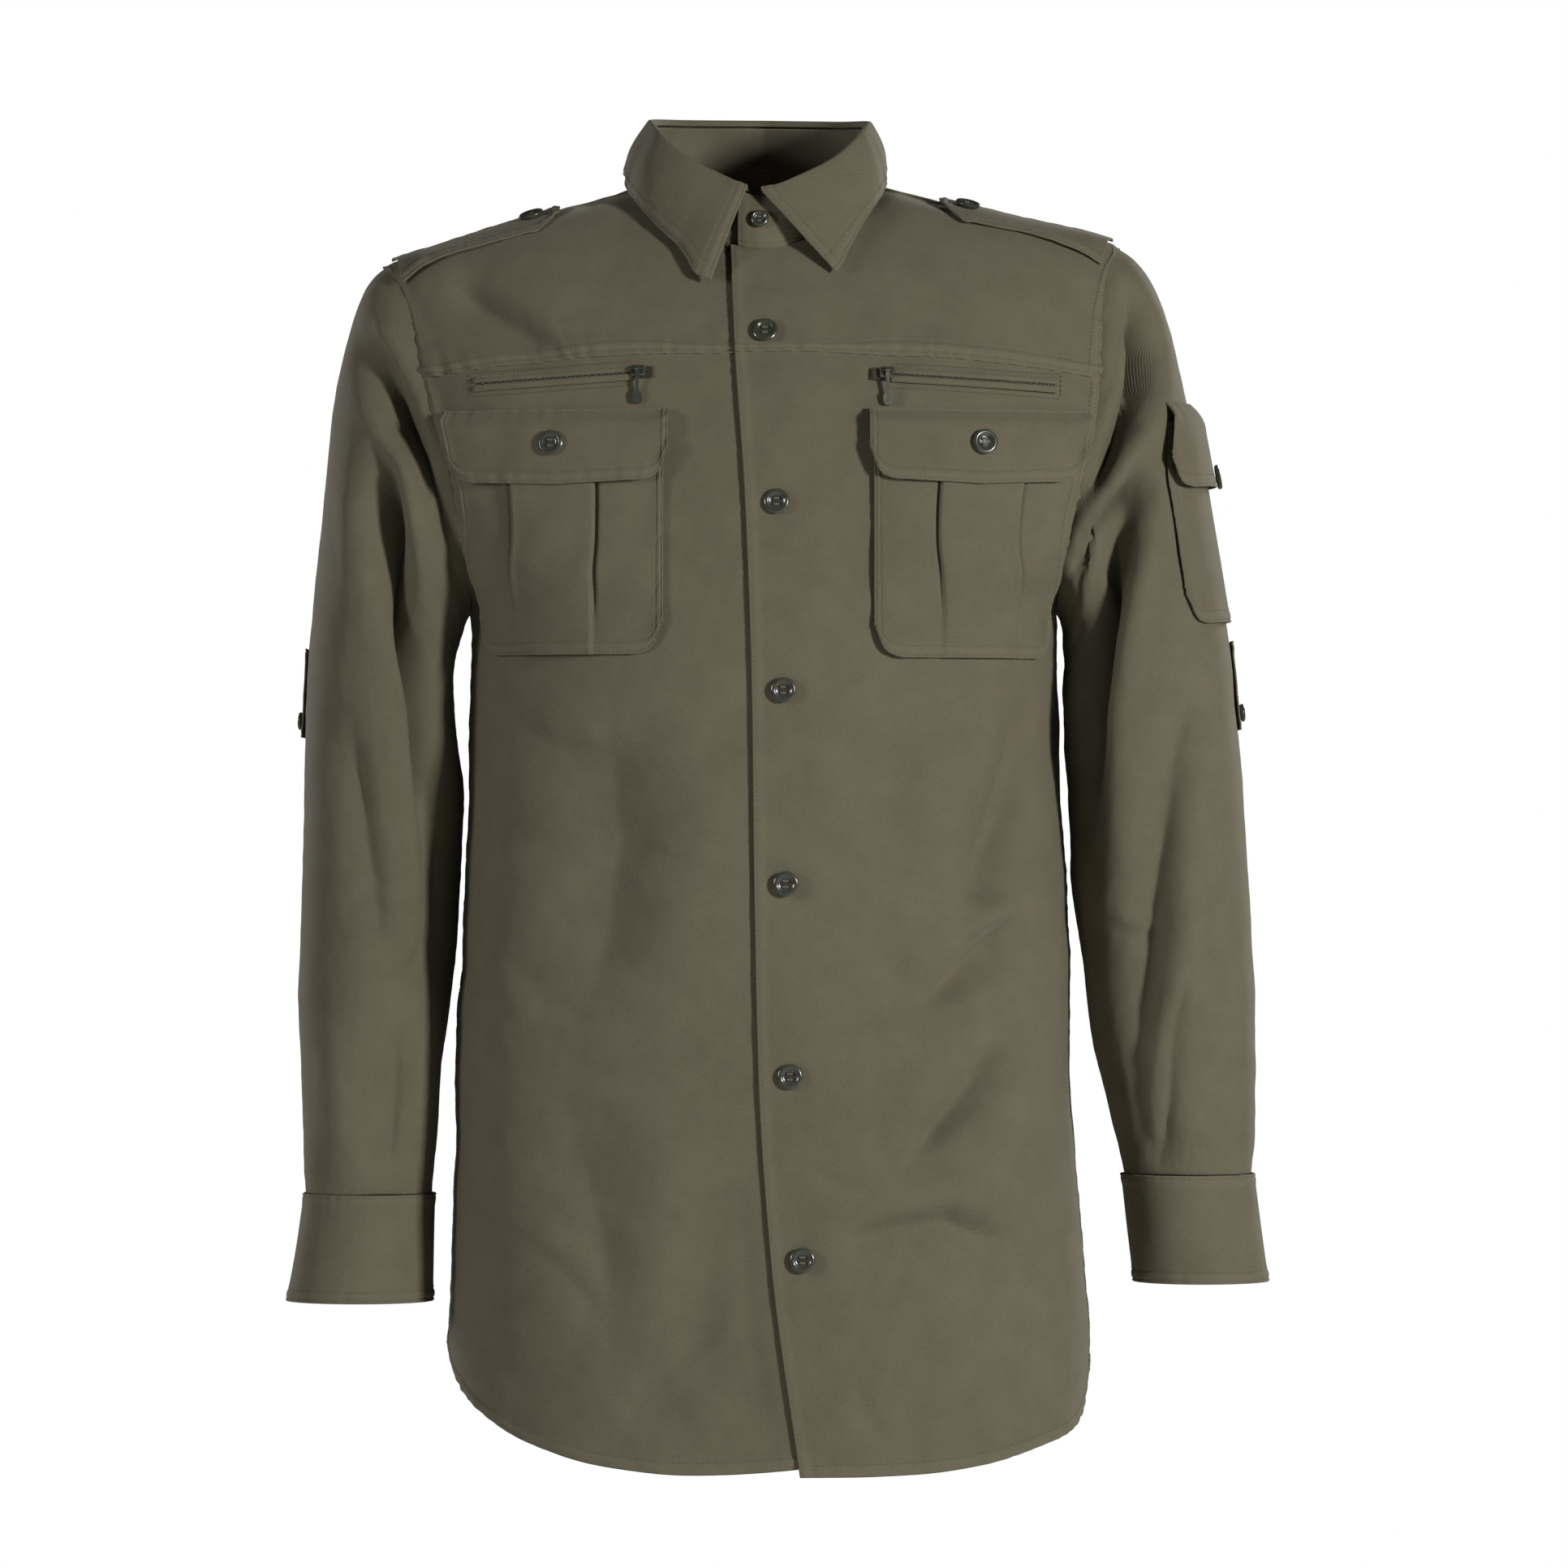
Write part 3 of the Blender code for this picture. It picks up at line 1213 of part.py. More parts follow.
def main():
    clear_scene()
    grids = build_panels()
    build_collar()
    sleeves = build_sleeves(grids)
    build_epaulettes()
    build_pockets()
    build_sleeve_trims(sleeves)
    build_buttons()
    for side, word in SIDES:
        build_zip(side, word)


main()
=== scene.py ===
"""Looks of the hunting shirt: fine cloth, sewing, buttons, zips, camera and light.

Sizes are in millimetres until a mesh is made. The surfaces are those of the part's source, read
through a finer grid, with the small folds and the sewing added.
"""
import math

import bmesh
import bpy
import numpy as np
from mathutils import Matrix, Vector


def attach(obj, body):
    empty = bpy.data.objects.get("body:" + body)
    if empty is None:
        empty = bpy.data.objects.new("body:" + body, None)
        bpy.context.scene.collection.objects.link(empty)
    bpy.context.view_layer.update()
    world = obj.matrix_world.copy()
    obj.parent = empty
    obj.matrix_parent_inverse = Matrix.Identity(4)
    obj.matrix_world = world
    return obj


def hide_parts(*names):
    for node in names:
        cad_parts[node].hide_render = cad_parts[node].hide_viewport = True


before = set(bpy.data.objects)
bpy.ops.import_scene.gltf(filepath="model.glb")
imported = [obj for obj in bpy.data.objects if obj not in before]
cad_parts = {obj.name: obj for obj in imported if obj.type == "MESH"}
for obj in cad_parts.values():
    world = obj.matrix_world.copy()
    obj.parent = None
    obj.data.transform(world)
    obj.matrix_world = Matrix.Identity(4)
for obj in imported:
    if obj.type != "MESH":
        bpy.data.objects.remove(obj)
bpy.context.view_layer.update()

MM = 0.001
SEAM = 0.5
RIDGE_TRIM = 0.6
LAP = 2.3
FRONT, BACK = -1, 1
LEFT, RIGHT = 1, -1
SIDES = ((LEFT, "left"), (RIGHT, "right"))

NECK_HALF = {LEFT: 70.0, RIGHT: 76.0}
NECK_FRONT_DROP = 43.0
NECK_BACK_RISE = 10.0
NECK_SLOPE = 0.62
UNDERARM = 264.0
SHOULDER_DROP = {LEFT: 38.0, RIGHT: 50.0}
SHOULDER_HALF = {LEFT: 218.0, RIGHT: 231.0}
YOKE_DROP = 108.0
YOKE_SIDE_DIP = 13.0

PLACKET_WIDTH = 38.0
BUTTON_SIZE = 15.4
SMALL_BUTTON_SIZE = 11.0
BUTTON_GAP = 0.4
ROUND_BUTTON_GAP = 0.7


def table(names, rows):
    """Give each named column of the rows as an array."""
    values = np.array(rows, dtype=float)
    return {name: values[:, place] for place, name in enumerate(names)}


# Level sections of the body: half widths on each side, depths from the middle line, roundness.
BODY = table(
    ("drop", "right", "left", "front", "back", "middle", "power"),
    (
        (-14, 44, 40, 40, 66, 5, 2.2),
        (0, 76, 70, 32, 70, 5, 2.2),
        (20, 139, 148, 48, 84, 5, 2.2),
        (38, 195, 218, 64, 94, 5, 2.25),
        (52, 233, 228, 76, 101, 5, 2.3),
        (70, 237, 232, 88, 108, 5, 2.3),
        (100, 240, 236, 105, 116, 5, 2.3),
        (140, 239, 238, 121, 123, 4, 2.3),
        (180, 230, 234, 130, 127, 4, 2.3),
        (225, 205, 209, 134, 128, 3, 2.4),
        (250, 186, 188, 135, 127, 3, 2.4),
        (264, 179, 180, 135, 126, 3, 2.4),
        (300, 178, 180, 134, 122, 2, 2.4),
        (370, 180, 183, 133, 116, 0, 2.4),
        (430, 183, 186, 132, 113, 0, 2.4),
        (490, 186, 188, 131, 113, 0, 2.4),
        (590, 189, 191, 131, 117, 0, 2.4),
        (640, 190, 195, 132, 120, 0, 2.4),
        (700, 192, 200, 134, 124, 0, 2.4),
        (790, 192, 198, 136, 127, 0, 2.4),
    ),
)

# How far out the armhole seam lies, from the shoulder's end (0) down to the underarm (1).
ARMHOLE = table(
    ("down", "right_front", "right_back", "left_front", "left_back"),
    (
        (0.00, 231, 231, 218, 218),
        (0.09, 220, 228, 209, 216),
        (0.23, 211, 224, 205, 214),
        (0.37, 204, 219, 204, 211),
        (0.57, 192, 209, 198, 204),
        (0.78, 184, 194, 187, 194),
        (0.93, 180, 182, 181.5, 183),
        (1.00, 179, 179, 180, 180),
    ),
)

# Lower edge, from the middle (0) to the side seam (1).
HEM = table(
    ("across", "right_front", "left_front", "right_back", "left_back"),
    (
        (0.00, 777, 786, 781, 781),
        (0.15, 783, 786, 781, 781),
        (0.30, 785, 785, 780, 780),
        (0.45, 781, 781, 776, 777),
        (0.62, 768, 772, 765, 769),
        (0.78, 747, 763, 750, 760),
        (0.90, 727, 749, 729, 748),
        (1.00, 712, 727, 712, 727),
    ),
)

# The button line, which drifts to the wearer's left on its way down.
BUTTON_LINE = table(
    ("drop", "x"),
    ((40, -1), (97, 1.5), (200, 8.5), (313, 12.5), (430, 14), (545, 16.5), (656, 24), (790, 42)),
)
BUTTON_DROPS = (96.5, 199.5, 312.5, 429.0, 545.0, 655.5)

# Large folds: the side they lie on, their height out of the cloth, half width, and course in (x, z).
FOLDS = (
    (FRONT, -4.0, 15, ((-200, -62), (-165, -82), (-128, -102))),
    (FRONT, -5.0, 34, ((-96, -325), (-92, -410), (-105, -500))),
    (FRONT, 3.0, 26, ((-160, -420), (-150, -600))),
    (FRONT, 3.5, 26, ((-55, -560), (-75, -700))),
    (FRONT, -4.0, 20, ((-24, -640), (-45, -720), (-85, -760))),
    (FRONT, -5.5, 16, ((163, -318), (150, -370), (124, -448))),
    (FRONT, 4.0, 18, ((108, -330), (98, -420))),
    (FRONT, 4.5, 11, ((120, -458), (158, -440))),
    (FRONT, -5.0, 13, ((154, -462), (128, -482), (92, -506))),
    (FRONT, -5.0, 15, ((150, -528), (120, -560), (88, -596))),
    (FRONT, 3.5, 18, ((160, -570), (130, -610), (80, -640))),
    (FRONT, -3.5, 14, ((62, -650), (110, -634), (160, -652))),
    (BACK, -4.5, 26, ((-150, -110), (-105, -190), (-95, -280))),
    (BACK, -4.0, 26, ((148, -120), (110, -200), (104, -300))),
    (BACK, 3.5, 22, ((-60, -60), (-20, -150), (-15, -260))),
    (BACK, -4.5, 22, ((-165, -380), (-120, -430), (-60, -455))),
    (BACK, -4.0, 20, ((160, -400), (110, -450), (40, -470))),
    (BACK, 4.0, 28, ((-90, -500), (-110, -700))),
    (BACK, 4.0, 30, ((75, -520), (95, -720))),
    (BACK, -3.5, 24, ((-10, -560), (5, -740))),
)
FLAT_NEAR_MIDDLE = (24.0, 62.0)
FOLD_DEPTH = 1.25

SLEEVE_NAMES = ("outer", "outer_drop", "inner", "inner_drop", "middle", "half_depth")
SLEEVES = {
    RIGHT: table(
        SLEEVE_NAMES,
        (
            (231, 50, 179, 264, 3, 70),
            (242, 60, 181.5, 268, 3, 74),
            (251, 80, 184, 274, 3, 77),
            (258, 106, 186.5, 281, 3, 78),
            (264, 138, 188.5, 290, 3, 78),
            (268.5, 173, 190, 301, 2, 77),
            (272, 210, 190.3, 315, 2, 76),
            (276, 250, 189.5, 331, 1, 74),
            (279.5, 292, 186.8, 350, 0, 72),
            (281.5, 334, 184.6, 374, 0, 70),
            (282.5, 378, 184.8, 402, 0, 68),
            (283.5, 422, 186.5, 436, -1, 66),
            (284.5, 464, 188.8, 470, -3, 64),
            (285, 504, 192.5, 505, -6, 61),
            (284, 540, 197, 540, -9, 57),
            (283, 572, 199.5, 572, -11, 52),
            (282, 600, 201.5, 600, -13, 47),
            (280.5, 619, 203, 619, -14, 43),
        ),
    ),
    LEFT: table(
        SLEEVE_NAMES,
        (
            (218, 38, 180, 264, 3, 70),
            (231, 48, 182.5, 268, 3, 74),
            (243, 68, 184.5, 274, 3, 77),
            (252, 94, 185.3, 281, 3, 78),
            (259.5, 128, 185.6, 290, 3, 78),
            (266, 163, 185.4, 301, 2, 77),
            (273, 202, 185.2, 315, 2, 76),
            (281, 246, 185.6, 331, 1, 74),
            (287.5, 286, 186.6, 350, 0, 72),
            (291.5, 328, 188, 374, 0, 70),
            (295, 372, 189.4, 402, 0, 68),
            (298, 418, 191, 434, -1, 66),
            (300.5, 458, 195, 464, -3, 64),
            (302, 494, 198.5, 495, -6, 61),
            (302.5, 528, 203, 528, -9, 57),
            (302.5, 560, 211, 560, -11, 52),
            (302, 588, 218, 588, -13, 47),
            (300.5, 607, 221.5, 607, -14, 43),
        ),
    ),
}
SLEEVE_POWER = 2.15
ARMHOLE_BLEND = 6.0

# Sleeve folds, as for the body, with courses in (x, z) as seen from the front or the back.
SLEEVE_FOLDS = {
    RIGHT: (
        (FRONT, -8.0, 11, ((-252, -88), (-232, -130), (-208, -172), (-186, -232))),
        (FRONT, 5.0, 12, ((-240, -84), (-214, -120))),
        (FRONT, -6.5, 10, ((-236, -188), (-222, -250), (-200, -318))),
        (FRONT, 4.0, 13, ((-256, -180), (-244, -262))),
        (FRONT, -4.5, 15, ((-254, -330), (-242, -400), (-226, -480))),
        (FRONT, -3.5, 11, ((-226, -530), (-232, -618))),
        (FRONT, 3.0, 12, ((-262, -520), (-256, -600))),
        (BACK, -6.0, 12, ((-250, -110), (-222, -170), (-192, -236))),
        (BACK, -4.5, 13, ((-246, -250), (-222, -330), (-198, -380))),
        (BACK, 4.0, 15, ((-260, -360), (-240, -460))),
        (BACK, -4.0, 12, ((-222, -480), (-248, -560), (-246, -618))),
    ),
    LEFT: (
        (FRONT, -7.0, 11, ((220, -58), (236, -104), (214, -160), (184, -214))),
        (FRONT, 4.5, 12, ((226, -150), (204, -196))),
        (FRONT, -6.0, 11, ((238, -168), (216, -230), (194, -290))),
        (FRONT, -6.0, 15, ((270, -312), (244, -372), (236, -430), (228, -536))),
        (FRONT, 4.0, 14, ((262, -420), (258, -520))),
        (FRONT, -3.5, 11, ((240, -520), (246, -606))),
        (BACK, -6.0, 12, ((240, -100), (218, -160), (190, -226))),
        (BACK, -4.5, 13, ((262, -260), (232, -340), (204, -390))),
        (BACK, 4.0, 15, ((272, -380), (250, -480))),
        (BACK, -4.0, 12, ((236, -470), (262, -540), (266, -606))),
    ),
}

CUFF_NAMES = ("along", "outer", "inner", "drop", "middle", "half_depth")
CUFFS = {
    RIGHT: table(CUFF_NAMES, ((0, 282, 201.5, 620, -14, 44.5), (1, 286.5, 202, 652, -16, 45),
                              (2, 292.5, 202.5, 686, -18, 46))),
    LEFT: table(CUFF_NAMES, ((0, 302, 220, 608, -14, 44.5), (1, 306, 223.5, 640, -16, 45),
                             (2, 310.5, 227.5, 674, -18, 46))),
}
CUFF_OVERLAP = 24.0
CUFF_START = -70.0
CUFF_LAP = 2.6

# Collar, by the angle round the neck from the front middle: the fold line on top and the leaf's edge.
COLLAR_TOP = table(
    ("turn", "x", "y", "z"),
    (
        (-180, 0, 68, 43),
        (-135, -46, 50, 42),
        (-90, -66, 8, 39),
        (-62, -60, -24, 29),
        (-40, -44, -42, 13),
        (-20, -24, -51, 1.5),
        (0, -1, -55, -7),
        (20, 22, -51, 1.5),
        (40, 42, -42, 13),
        (62, 57, -24, 29),
        (90, 62, 8, 38),
        (135, 43, 50, 41),
        (180, 0, 68, 43),
    ),
)
LEAF_EDGE = table(
    ("turn", "x", "z"),
    (
        (-180, 0, 0),
        (-135, -60, 3),
        (-90, -86, 7),
        (-60, -78, -10),
        (-40, -68, -24),
        (-22, -50, -43),
        (-6.5, -31, -63.5),
        (0.5, 44, -58),
        (20, 52, -44),
        (40, 62, -25),
        (60, 71, -9),
        (90, 76, 7),
        (135, 56, 3),
        (180, 0, 0),
    ),
)
# Shoulder straps: how far from the middle the tip and the sewn end lie.
EPAULETTE = {LEFT: (108.0, 215.0), RIGHT: (124.0, 228.0)}
EPAULETTE_WIDTH = 46.0
EPAULETTE_LIFT = 2.9
EPAULETTE_BUTTON_IN = 17.0
EPAULETTE_FORWARD = 20.0
EPAULETTE_SKEW = 9.0

# Chest pockets: length along the chest from the middle to the inner edge, top and bottom heights.
POCKET = {LEFT: (67.0, -156.0, -293.0), RIGHT: (59.5, -156.0, -291.0)}
POCKET_WIDTH = 138.0
ARMHOLE_MARGIN = 6.0
POCKET_CORNER = 20.0
POCKET_LIFT = 2.8
PLEAT = (0.33, 0.69)
PLEAT_HEIGHT = 2.4
PLEAT_GROOVE = 2.2
PLEAT_OVERHANG = 1.5
POCKET_SAG = 1.6
FLAP_TOP = {LEFT: -142.5, RIGHT: -143.0}
FLAP_WIDTH = 144.0
FLAP_OVERHANG = 3.0
FLAP_HEIGHT = 43.0
FLAP_CORNER = 18.0
FLAP_POINT = 3.0
FLAP_TOP_LIFT = 2.1
FLAP_LIFT = 8.0

# Where the front and rear edges of the sleeve's pocket lie round the sleeve, by drop.
SLEEVE_POCKET_EDGES = table(
    ("drop", "front", "rear"),
    ((136, 42, -52), (165, 51, -47), (190, 57, -43), (278, 59, -40)),
)
SLEEVE_POCKET_LIFT = 2.1
SLEEVE_POCKET_PUFF = 2.5
SLEEVE_POCKET_WIDTH = 126.0
SLEEVE_POCKET_HEIGHTS = (-151.0, -274.0)
SLEEVE_POCKET_TILT = 4.0
SLEEVE_FLAP_HEIGHTS = (-140.0, -192.0)
SLEEVE_FLAP_OVERHANG = 0.02
SLEEVE_CORNER = 18.0
SLEEVE_FLAP_TOP_LIFT = 2.1
SLEEVE_FLAP_LIFT = 9.0
SLEEVE_BUTTON = (3.0, -182.0)
# Roll-up tabs: from and to along the sleeve's sections, and the turn they lie at.
SLEEVE_TAB = {LEFT: (7.88, 9.18, -4.0), RIGHT: (7.85, 9.15, -10.0)}
TAB_LIFT = 2.1
# The overlap of the fronts as shown: soft cloth lies closer than the solid walls.
FACING_SHOWN = 1.3
FACING_THICK = 0.7
FRONT_SHOWN = 2.8

# Level chest zips: distances of both ends from the middle, and their heights.
ZIP = {LEFT: (66.0, 176.0, -121.5, -127.5), RIGHT: (66.0, 172.0, -120.5, -127.0)}
ZIP_TAPE = 7.0
ZIP_LIFT = 1.7

LEAF_FRONT = {RIGHT: -6.5, LEFT: 0.5}
LEAF_LIFT = 8.0
STAND_START = -11.0
STAND_LAP = 3.0
STAND_TOP_GAP = 3.4
FRONT_COLUMNS = 12
FRONT_ROWS_LOW = 19
FRONT_ROWS_HIGH = 7
YOKE_ROWS = 5
BACK_COLUMNS = 18
BACK_ROWS_LOW = 18
BACK_ROWS_MID = 7
BACK_ROWS_TOP = 5


def unit(vector):
    return vector / np.linalg.norm(vector)


def lengths_along(points):
    """Length along a line up to each of its points."""
    return np.concatenate(([0], np.cumsum(np.linalg.norm(np.diff(points, axis=0), axis=1))))


def read_line(points, lengths, at):
    """The points, or other rows of three values, at lengths along a line."""
    return np.stack([np.interp(at, lengths, points[:, axis]) for axis in range(3)], -1)


def smooth(keys, values, at):
    """Read a smooth curve through the points, with no overshoot, at the given places."""
    step = np.diff(keys)
    slope = np.diff(values) / step
    tangent = np.concatenate(([slope[0]], np.zeros(len(step) - 1), [slope[-1]]))
    for i in range(1, len(step)):
        if slope[i - 1] * slope[i] > 0:
            before = 2 * step[i] + step[i - 1]
            after = step[i] + 2 * step[i - 1]
            tangent[i] = (before + after) / (before / slope[i - 1] + after / slope[i])
    at = np.asarray(at, dtype=float)
    i = np.clip(np.searchsorted(keys, at) - 1, 0, len(step) - 1)
    t = np.clip((at - keys[i]) / step[i], 0, 1)
    rise = values[i] * (2 * t**3 - 3 * t**2 + 1) + values[i + 1] * (3 * t**2 - 2 * t**3)
    lean = tangent[i] * (t**3 - 2 * t**2 + t) + tangent[i + 1] * (t**3 - t**2)
    return rise + lean * step[i]


def ease(value, start, end):
    """Go softly from 0 at start to 1 at end."""
    t = np.clip((value - start) / (end - start), 0, 1)
    return t * t * (3 - 2 * t)


def body_read(column, z):
    return smooth(BODY["drop"], BODY[column], -np.asarray(z, dtype=float))


def body_ring(x, z, face):
    """Half width, depth, middle and roundness of the level section through each point."""
    width = np.where(np.asarray(x) > 0, body_read("left", z), body_read("right", z))
    depth = body_read("front", z) if face == FRONT else body_read("back", z)
    return width, depth, body_read("middle", z), body_read("power", z)


def body_point(x, z, face):
    """Give the points of the smooth body at x and z, on its front or its back."""
    width, depth, middle, power = body_ring(x, z, face)
    inside = np.clip(1 - (np.abs(x) / width) ** power, 0, 1)
    return np.stack(np.broadcast_arrays(x, middle + face * depth * inside ** (1 / power), z), -1)


def body_level(points, face):
    x, y, z = np.moveaxis(points, -1, 0)
    width, depth, middle, power = body_ring(x, z, face)
    return (np.abs(x) / width) ** power + (np.abs(y - middle) / depth) ** power


def body_normal(points, face):
    """Give the outward direction of the smooth body at its points."""
    slopes = [body_level(points + step, face) - body_level(points - step, face) for step in np.eye(3)]
    slopes = np.stack(slopes, -1)
    return slopes / np.linalg.norm(slopes, axis=-1, keepdims=True)


def from_course(x, z, course):
    """Distance of each point from a course, the same with a sign for its side, and share along it."""
    nearest = np.full(np.shape(x), 1e9)
    signed = np.zeros(np.shape(x))
    along = np.zeros(np.shape(x))
    for leg, (start, end) in enumerate(zip(course[:-1], course[1:])):
        run = np.subtract(end, start)
        part = np.clip(((x - start[0]) * run[0] + (z - start[1]) * run[1]) / run.dot(run), 0, 1)
        distance = np.hypot(x - start[0] - part * run[0], z - start[1] - part * run[1])
        closer = distance < nearest
        aside = run[0] * (z - start[1]) - run[1] * (x - start[0])
        nearest = np.where(closer, distance, nearest)
        signed = np.where(closer, np.sign(aside) * distance, signed)
        along = np.where(closer, (leg + part) / (len(course) - 1), along)
    return nearest, signed, along


def fold_height(x, z, face, folds):
    """Add up the folds on one side: soft ridges and troughs that fade out at their ends."""
    total = np.zeros(np.shape(x))
    for side, height, width, course in folds:
        if side == face:
            nearest, _, along = from_course(x, z, course)
            fade = 0.35 + 0.65 * np.minimum(ease(along, 0, 0.3), ease(1 - along, 0, 0.3))
            total += FOLD_DEPTH * height * fade * np.exp(-((nearest / width) ** 2))
    return total


def quarter_ring(z, side, face):
    """Sample a quarter of a level section from the middle to the side: x and length along it."""
    turn = np.linspace(0, math.pi / 2, 121)
    width, depth, _, power = (float(v) for v in body_ring(side, z, face))
    x = width * np.sin(turn) ** (2 / power)
    y = depth * np.cos(turn) ** (2 / power)
    length = np.concatenate(([0], np.cumsum(np.hypot(np.diff(x), np.diff(y)))))
    return x, length


def arc_of(x, z, side, face):
    """Length along the section from the middle to x, counted towards the given side."""
    across = x * side
    xs, lengths = quarter_ring(z, side, face)
    return across if across < 0 else float(np.interp(across, xs, lengths))


def x_of(arc, z, side, face):
    xs, lengths = quarter_ring(z, side, face)
    return side * (arc if arc < 0 else float(np.interp(arc, lengths, xs)))


def quarter_name(side, face):
    return ("left" if side == LEFT else "right") + ("_front" if face == FRONT else "_back")


def armhole_x(z, side, face):
    top = SHOULDER_DROP[side]
    name = quarter_name(side, face)
    reach = float(smooth(ARMHOLE["down"], ARMHOLE[name], (-z - top) / (UNDERARM - top)))
    return side * min(reach, float(body_ring(side, z, face)[0]))


def side_arc(z, side, face):
    """Length from the middle to the side seam, or to the armhole above the underarm."""
    if -z >= UNDERARM:
        return quarter_ring(z, side, face)[1][-1] - SEAM / 2
    return arc_of(armhole_x(z, side, face), z, side, face)


def hem_drop(across, side, face):
    return float(smooth(HEM["across"], HEM[quarter_name(side, face)], across))


def yoke_z(x):
    return -(YOKE_DROP + YOKE_SIDE_DIP * min(1.0, abs(x) / 200) ** 3)


def button_x(z):
    return float(smooth(BUTTON_LINE["drop"], BUTTON_LINE["x"], -z))


def placket_edge(z):
    return button_x(z) - PLACKET_WIDTH / 2


def neck_half(x):
    return NECK_HALF[LEFT if x > 0 else RIGHT]


def shoulder_z(x):
    """Height of the shoulder line or, inside it, of the front neckline."""
    if abs(x) < neck_half(x):
        return -NECK_FRONT_DROP * (1 - (x / neck_half(x)) ** 2)
    drops = np.linspace(0, 52, 105)
    widths = body_read("left" if x > 0 else "right", -drops)
    return -float(np.interp(abs(x), widths, drops))


def back_top_z(x):
    if abs(x) < neck_half(x):
        return NECK_BACK_RISE * (1 - (x / neck_half(x)) ** 2)
    return shoulder_z(x)


def evenly(points, count, trim=0.0):
    """Place count + 1 points evenly along a line of close points, stopping trim short of its end."""
    lengths = lengths_along(points)
    return read_line(points, lengths, np.linspace(0, lengths[-1] - trim, count + 1))


def shoulder_column(bottom_x, top_x, start_z, top_z, edge, face, count):
    """A line of body points from start_z up and over to the shoulder line or neckline."""
    rise = 1 - (1 - np.linspace(0, 1, 80)) ** 2.2
    zs = start_z + (top_z - start_z) * rise
    xs = bottom_x + (top_x - bottom_x) * (zs - start_z) / (top_z - start_z)
    if edge is not None:
        side, weight = edge
        seam = np.array([armhole_x(z, side, face) for z in zs])
        straight = seam[0] + (seam[-1] - seam[0]) * (zs - start_z) / (top_z - start_z)
        xs = xs + weight**2 * (seam - straight)
    trim = RIDGE_TRIM if abs(top_x) >= neck_half(top_x) else 0.0
    return evenly(body_point(xs, zs, face), count, trim)


def lift_points(points, face, lift=0.0):
    """Move smooth body points out by the folds and by lift."""
    x, z = points[..., 0], points[..., 2]
    height = fold_height(x, z, face, FOLDS)
    if face == FRONT:
        middle_line = smooth(BUTTON_LINE["drop"], BUTTON_LINE["x"], -z)
        height = height * ease(np.abs(x - middle_line), *FLAT_NEAR_MIDDLE)
    normal = body_normal(points, face)
    facing = np.clip(face * normal[..., 1] * 1.6, 0, 1)
    return points + normal * (height * facing + lift)[..., None]


def front_columns(z, side, count):
    """Places across one front at height z: the placket's width first, then even steps."""
    edge = placket_edge(z)
    end = side_arc(z, side, FRONT)
    if side == LEFT:
        starts = [edge, edge + PLACKET_WIDTH / 2, edge + PLACKET_WIDTH]
    else:
        starts = [edge + 0.8 * PLACKET_WIDTH]
    arcs = [arc_of(x, z, side, FRONT) for x in starts]
    steps = count + 1 - len(starts)
    arcs += [arcs[-1] + (end - arcs[-1]) * (i + 1) / steps for i in range(steps)]
    return [x_of(arc, z, side, FRONT) for arc in arcs]


def front_grid(side):
    """Smooth body points of a lower front, rows from the hem up, columns from the middle out."""
    rows = []
    for row in range(FRONT_ROWS_LOW + FRONT_ROWS_HIGH + 1):
        points = []
        for column in range(FRONT_COLUMNS + 1):
            across = column / FRONT_COLUMNS
            if row <= FRONT_ROWS_LOW:
                hem = hem_drop(across, side, FRONT)
                z = -(hem + (UNDERARM - hem) * row / FRONT_ROWS_LOW)
            else:
                up = (row - FRONT_ROWS_LOW) / FRONT_ROWS_HIGH
                reach = front_columns(-YOKE_DROP, side, FRONT_COLUMNS)[column]
                z = -UNDERARM + (yoke_z(reach) - SEAM / 2 + UNDERARM) * up
            x = front_columns(z, side, FRONT_COLUMNS)[column]
            points.append(body_point(x, z, FRONT))
        rows.append(points)
    return np.array(rows)


def yoke_grid(side):
    """Smooth body points of a front yoke, rows from the chest seam up to shoulder and neckline."""
    columns = []
    bottom = front_columns(-YOKE_DROP, side, FRONT_COLUMNS)
    first = 2 if side == LEFT else 0
    end = side * SHOULDER_HALF[side]
    for column, start_x in enumerate(bottom):
        start_z = yoke_z(start_x) + SEAM / 2
        if column == FRONT_COLUMNS:
            start_x = armhole_x(start_z, side, FRONT)
        if column < first or column == first == 0:
            shift = start_x - placket_edge(-YOKE_DROP)
            top_x = placket_edge(-NECK_FRONT_DROP) + shift
        else:
            across = (column - first) / (FRONT_COLUMNS - first)
            begin = placket_edge(-NECK_FRONT_DROP) + bottom[first] - placket_edge(-YOKE_DROP)
            top_x = begin + (end - begin) * across
        edge = (side, column / FRONT_COLUMNS) if column > FRONT_COLUMNS / 2 else None
        columns.append(shoulder_column(start_x, top_x, start_z, shoulder_z(top_x), edge, FRONT, YOKE_ROWS))
    return np.array(columns).swapaxes(0, 1)


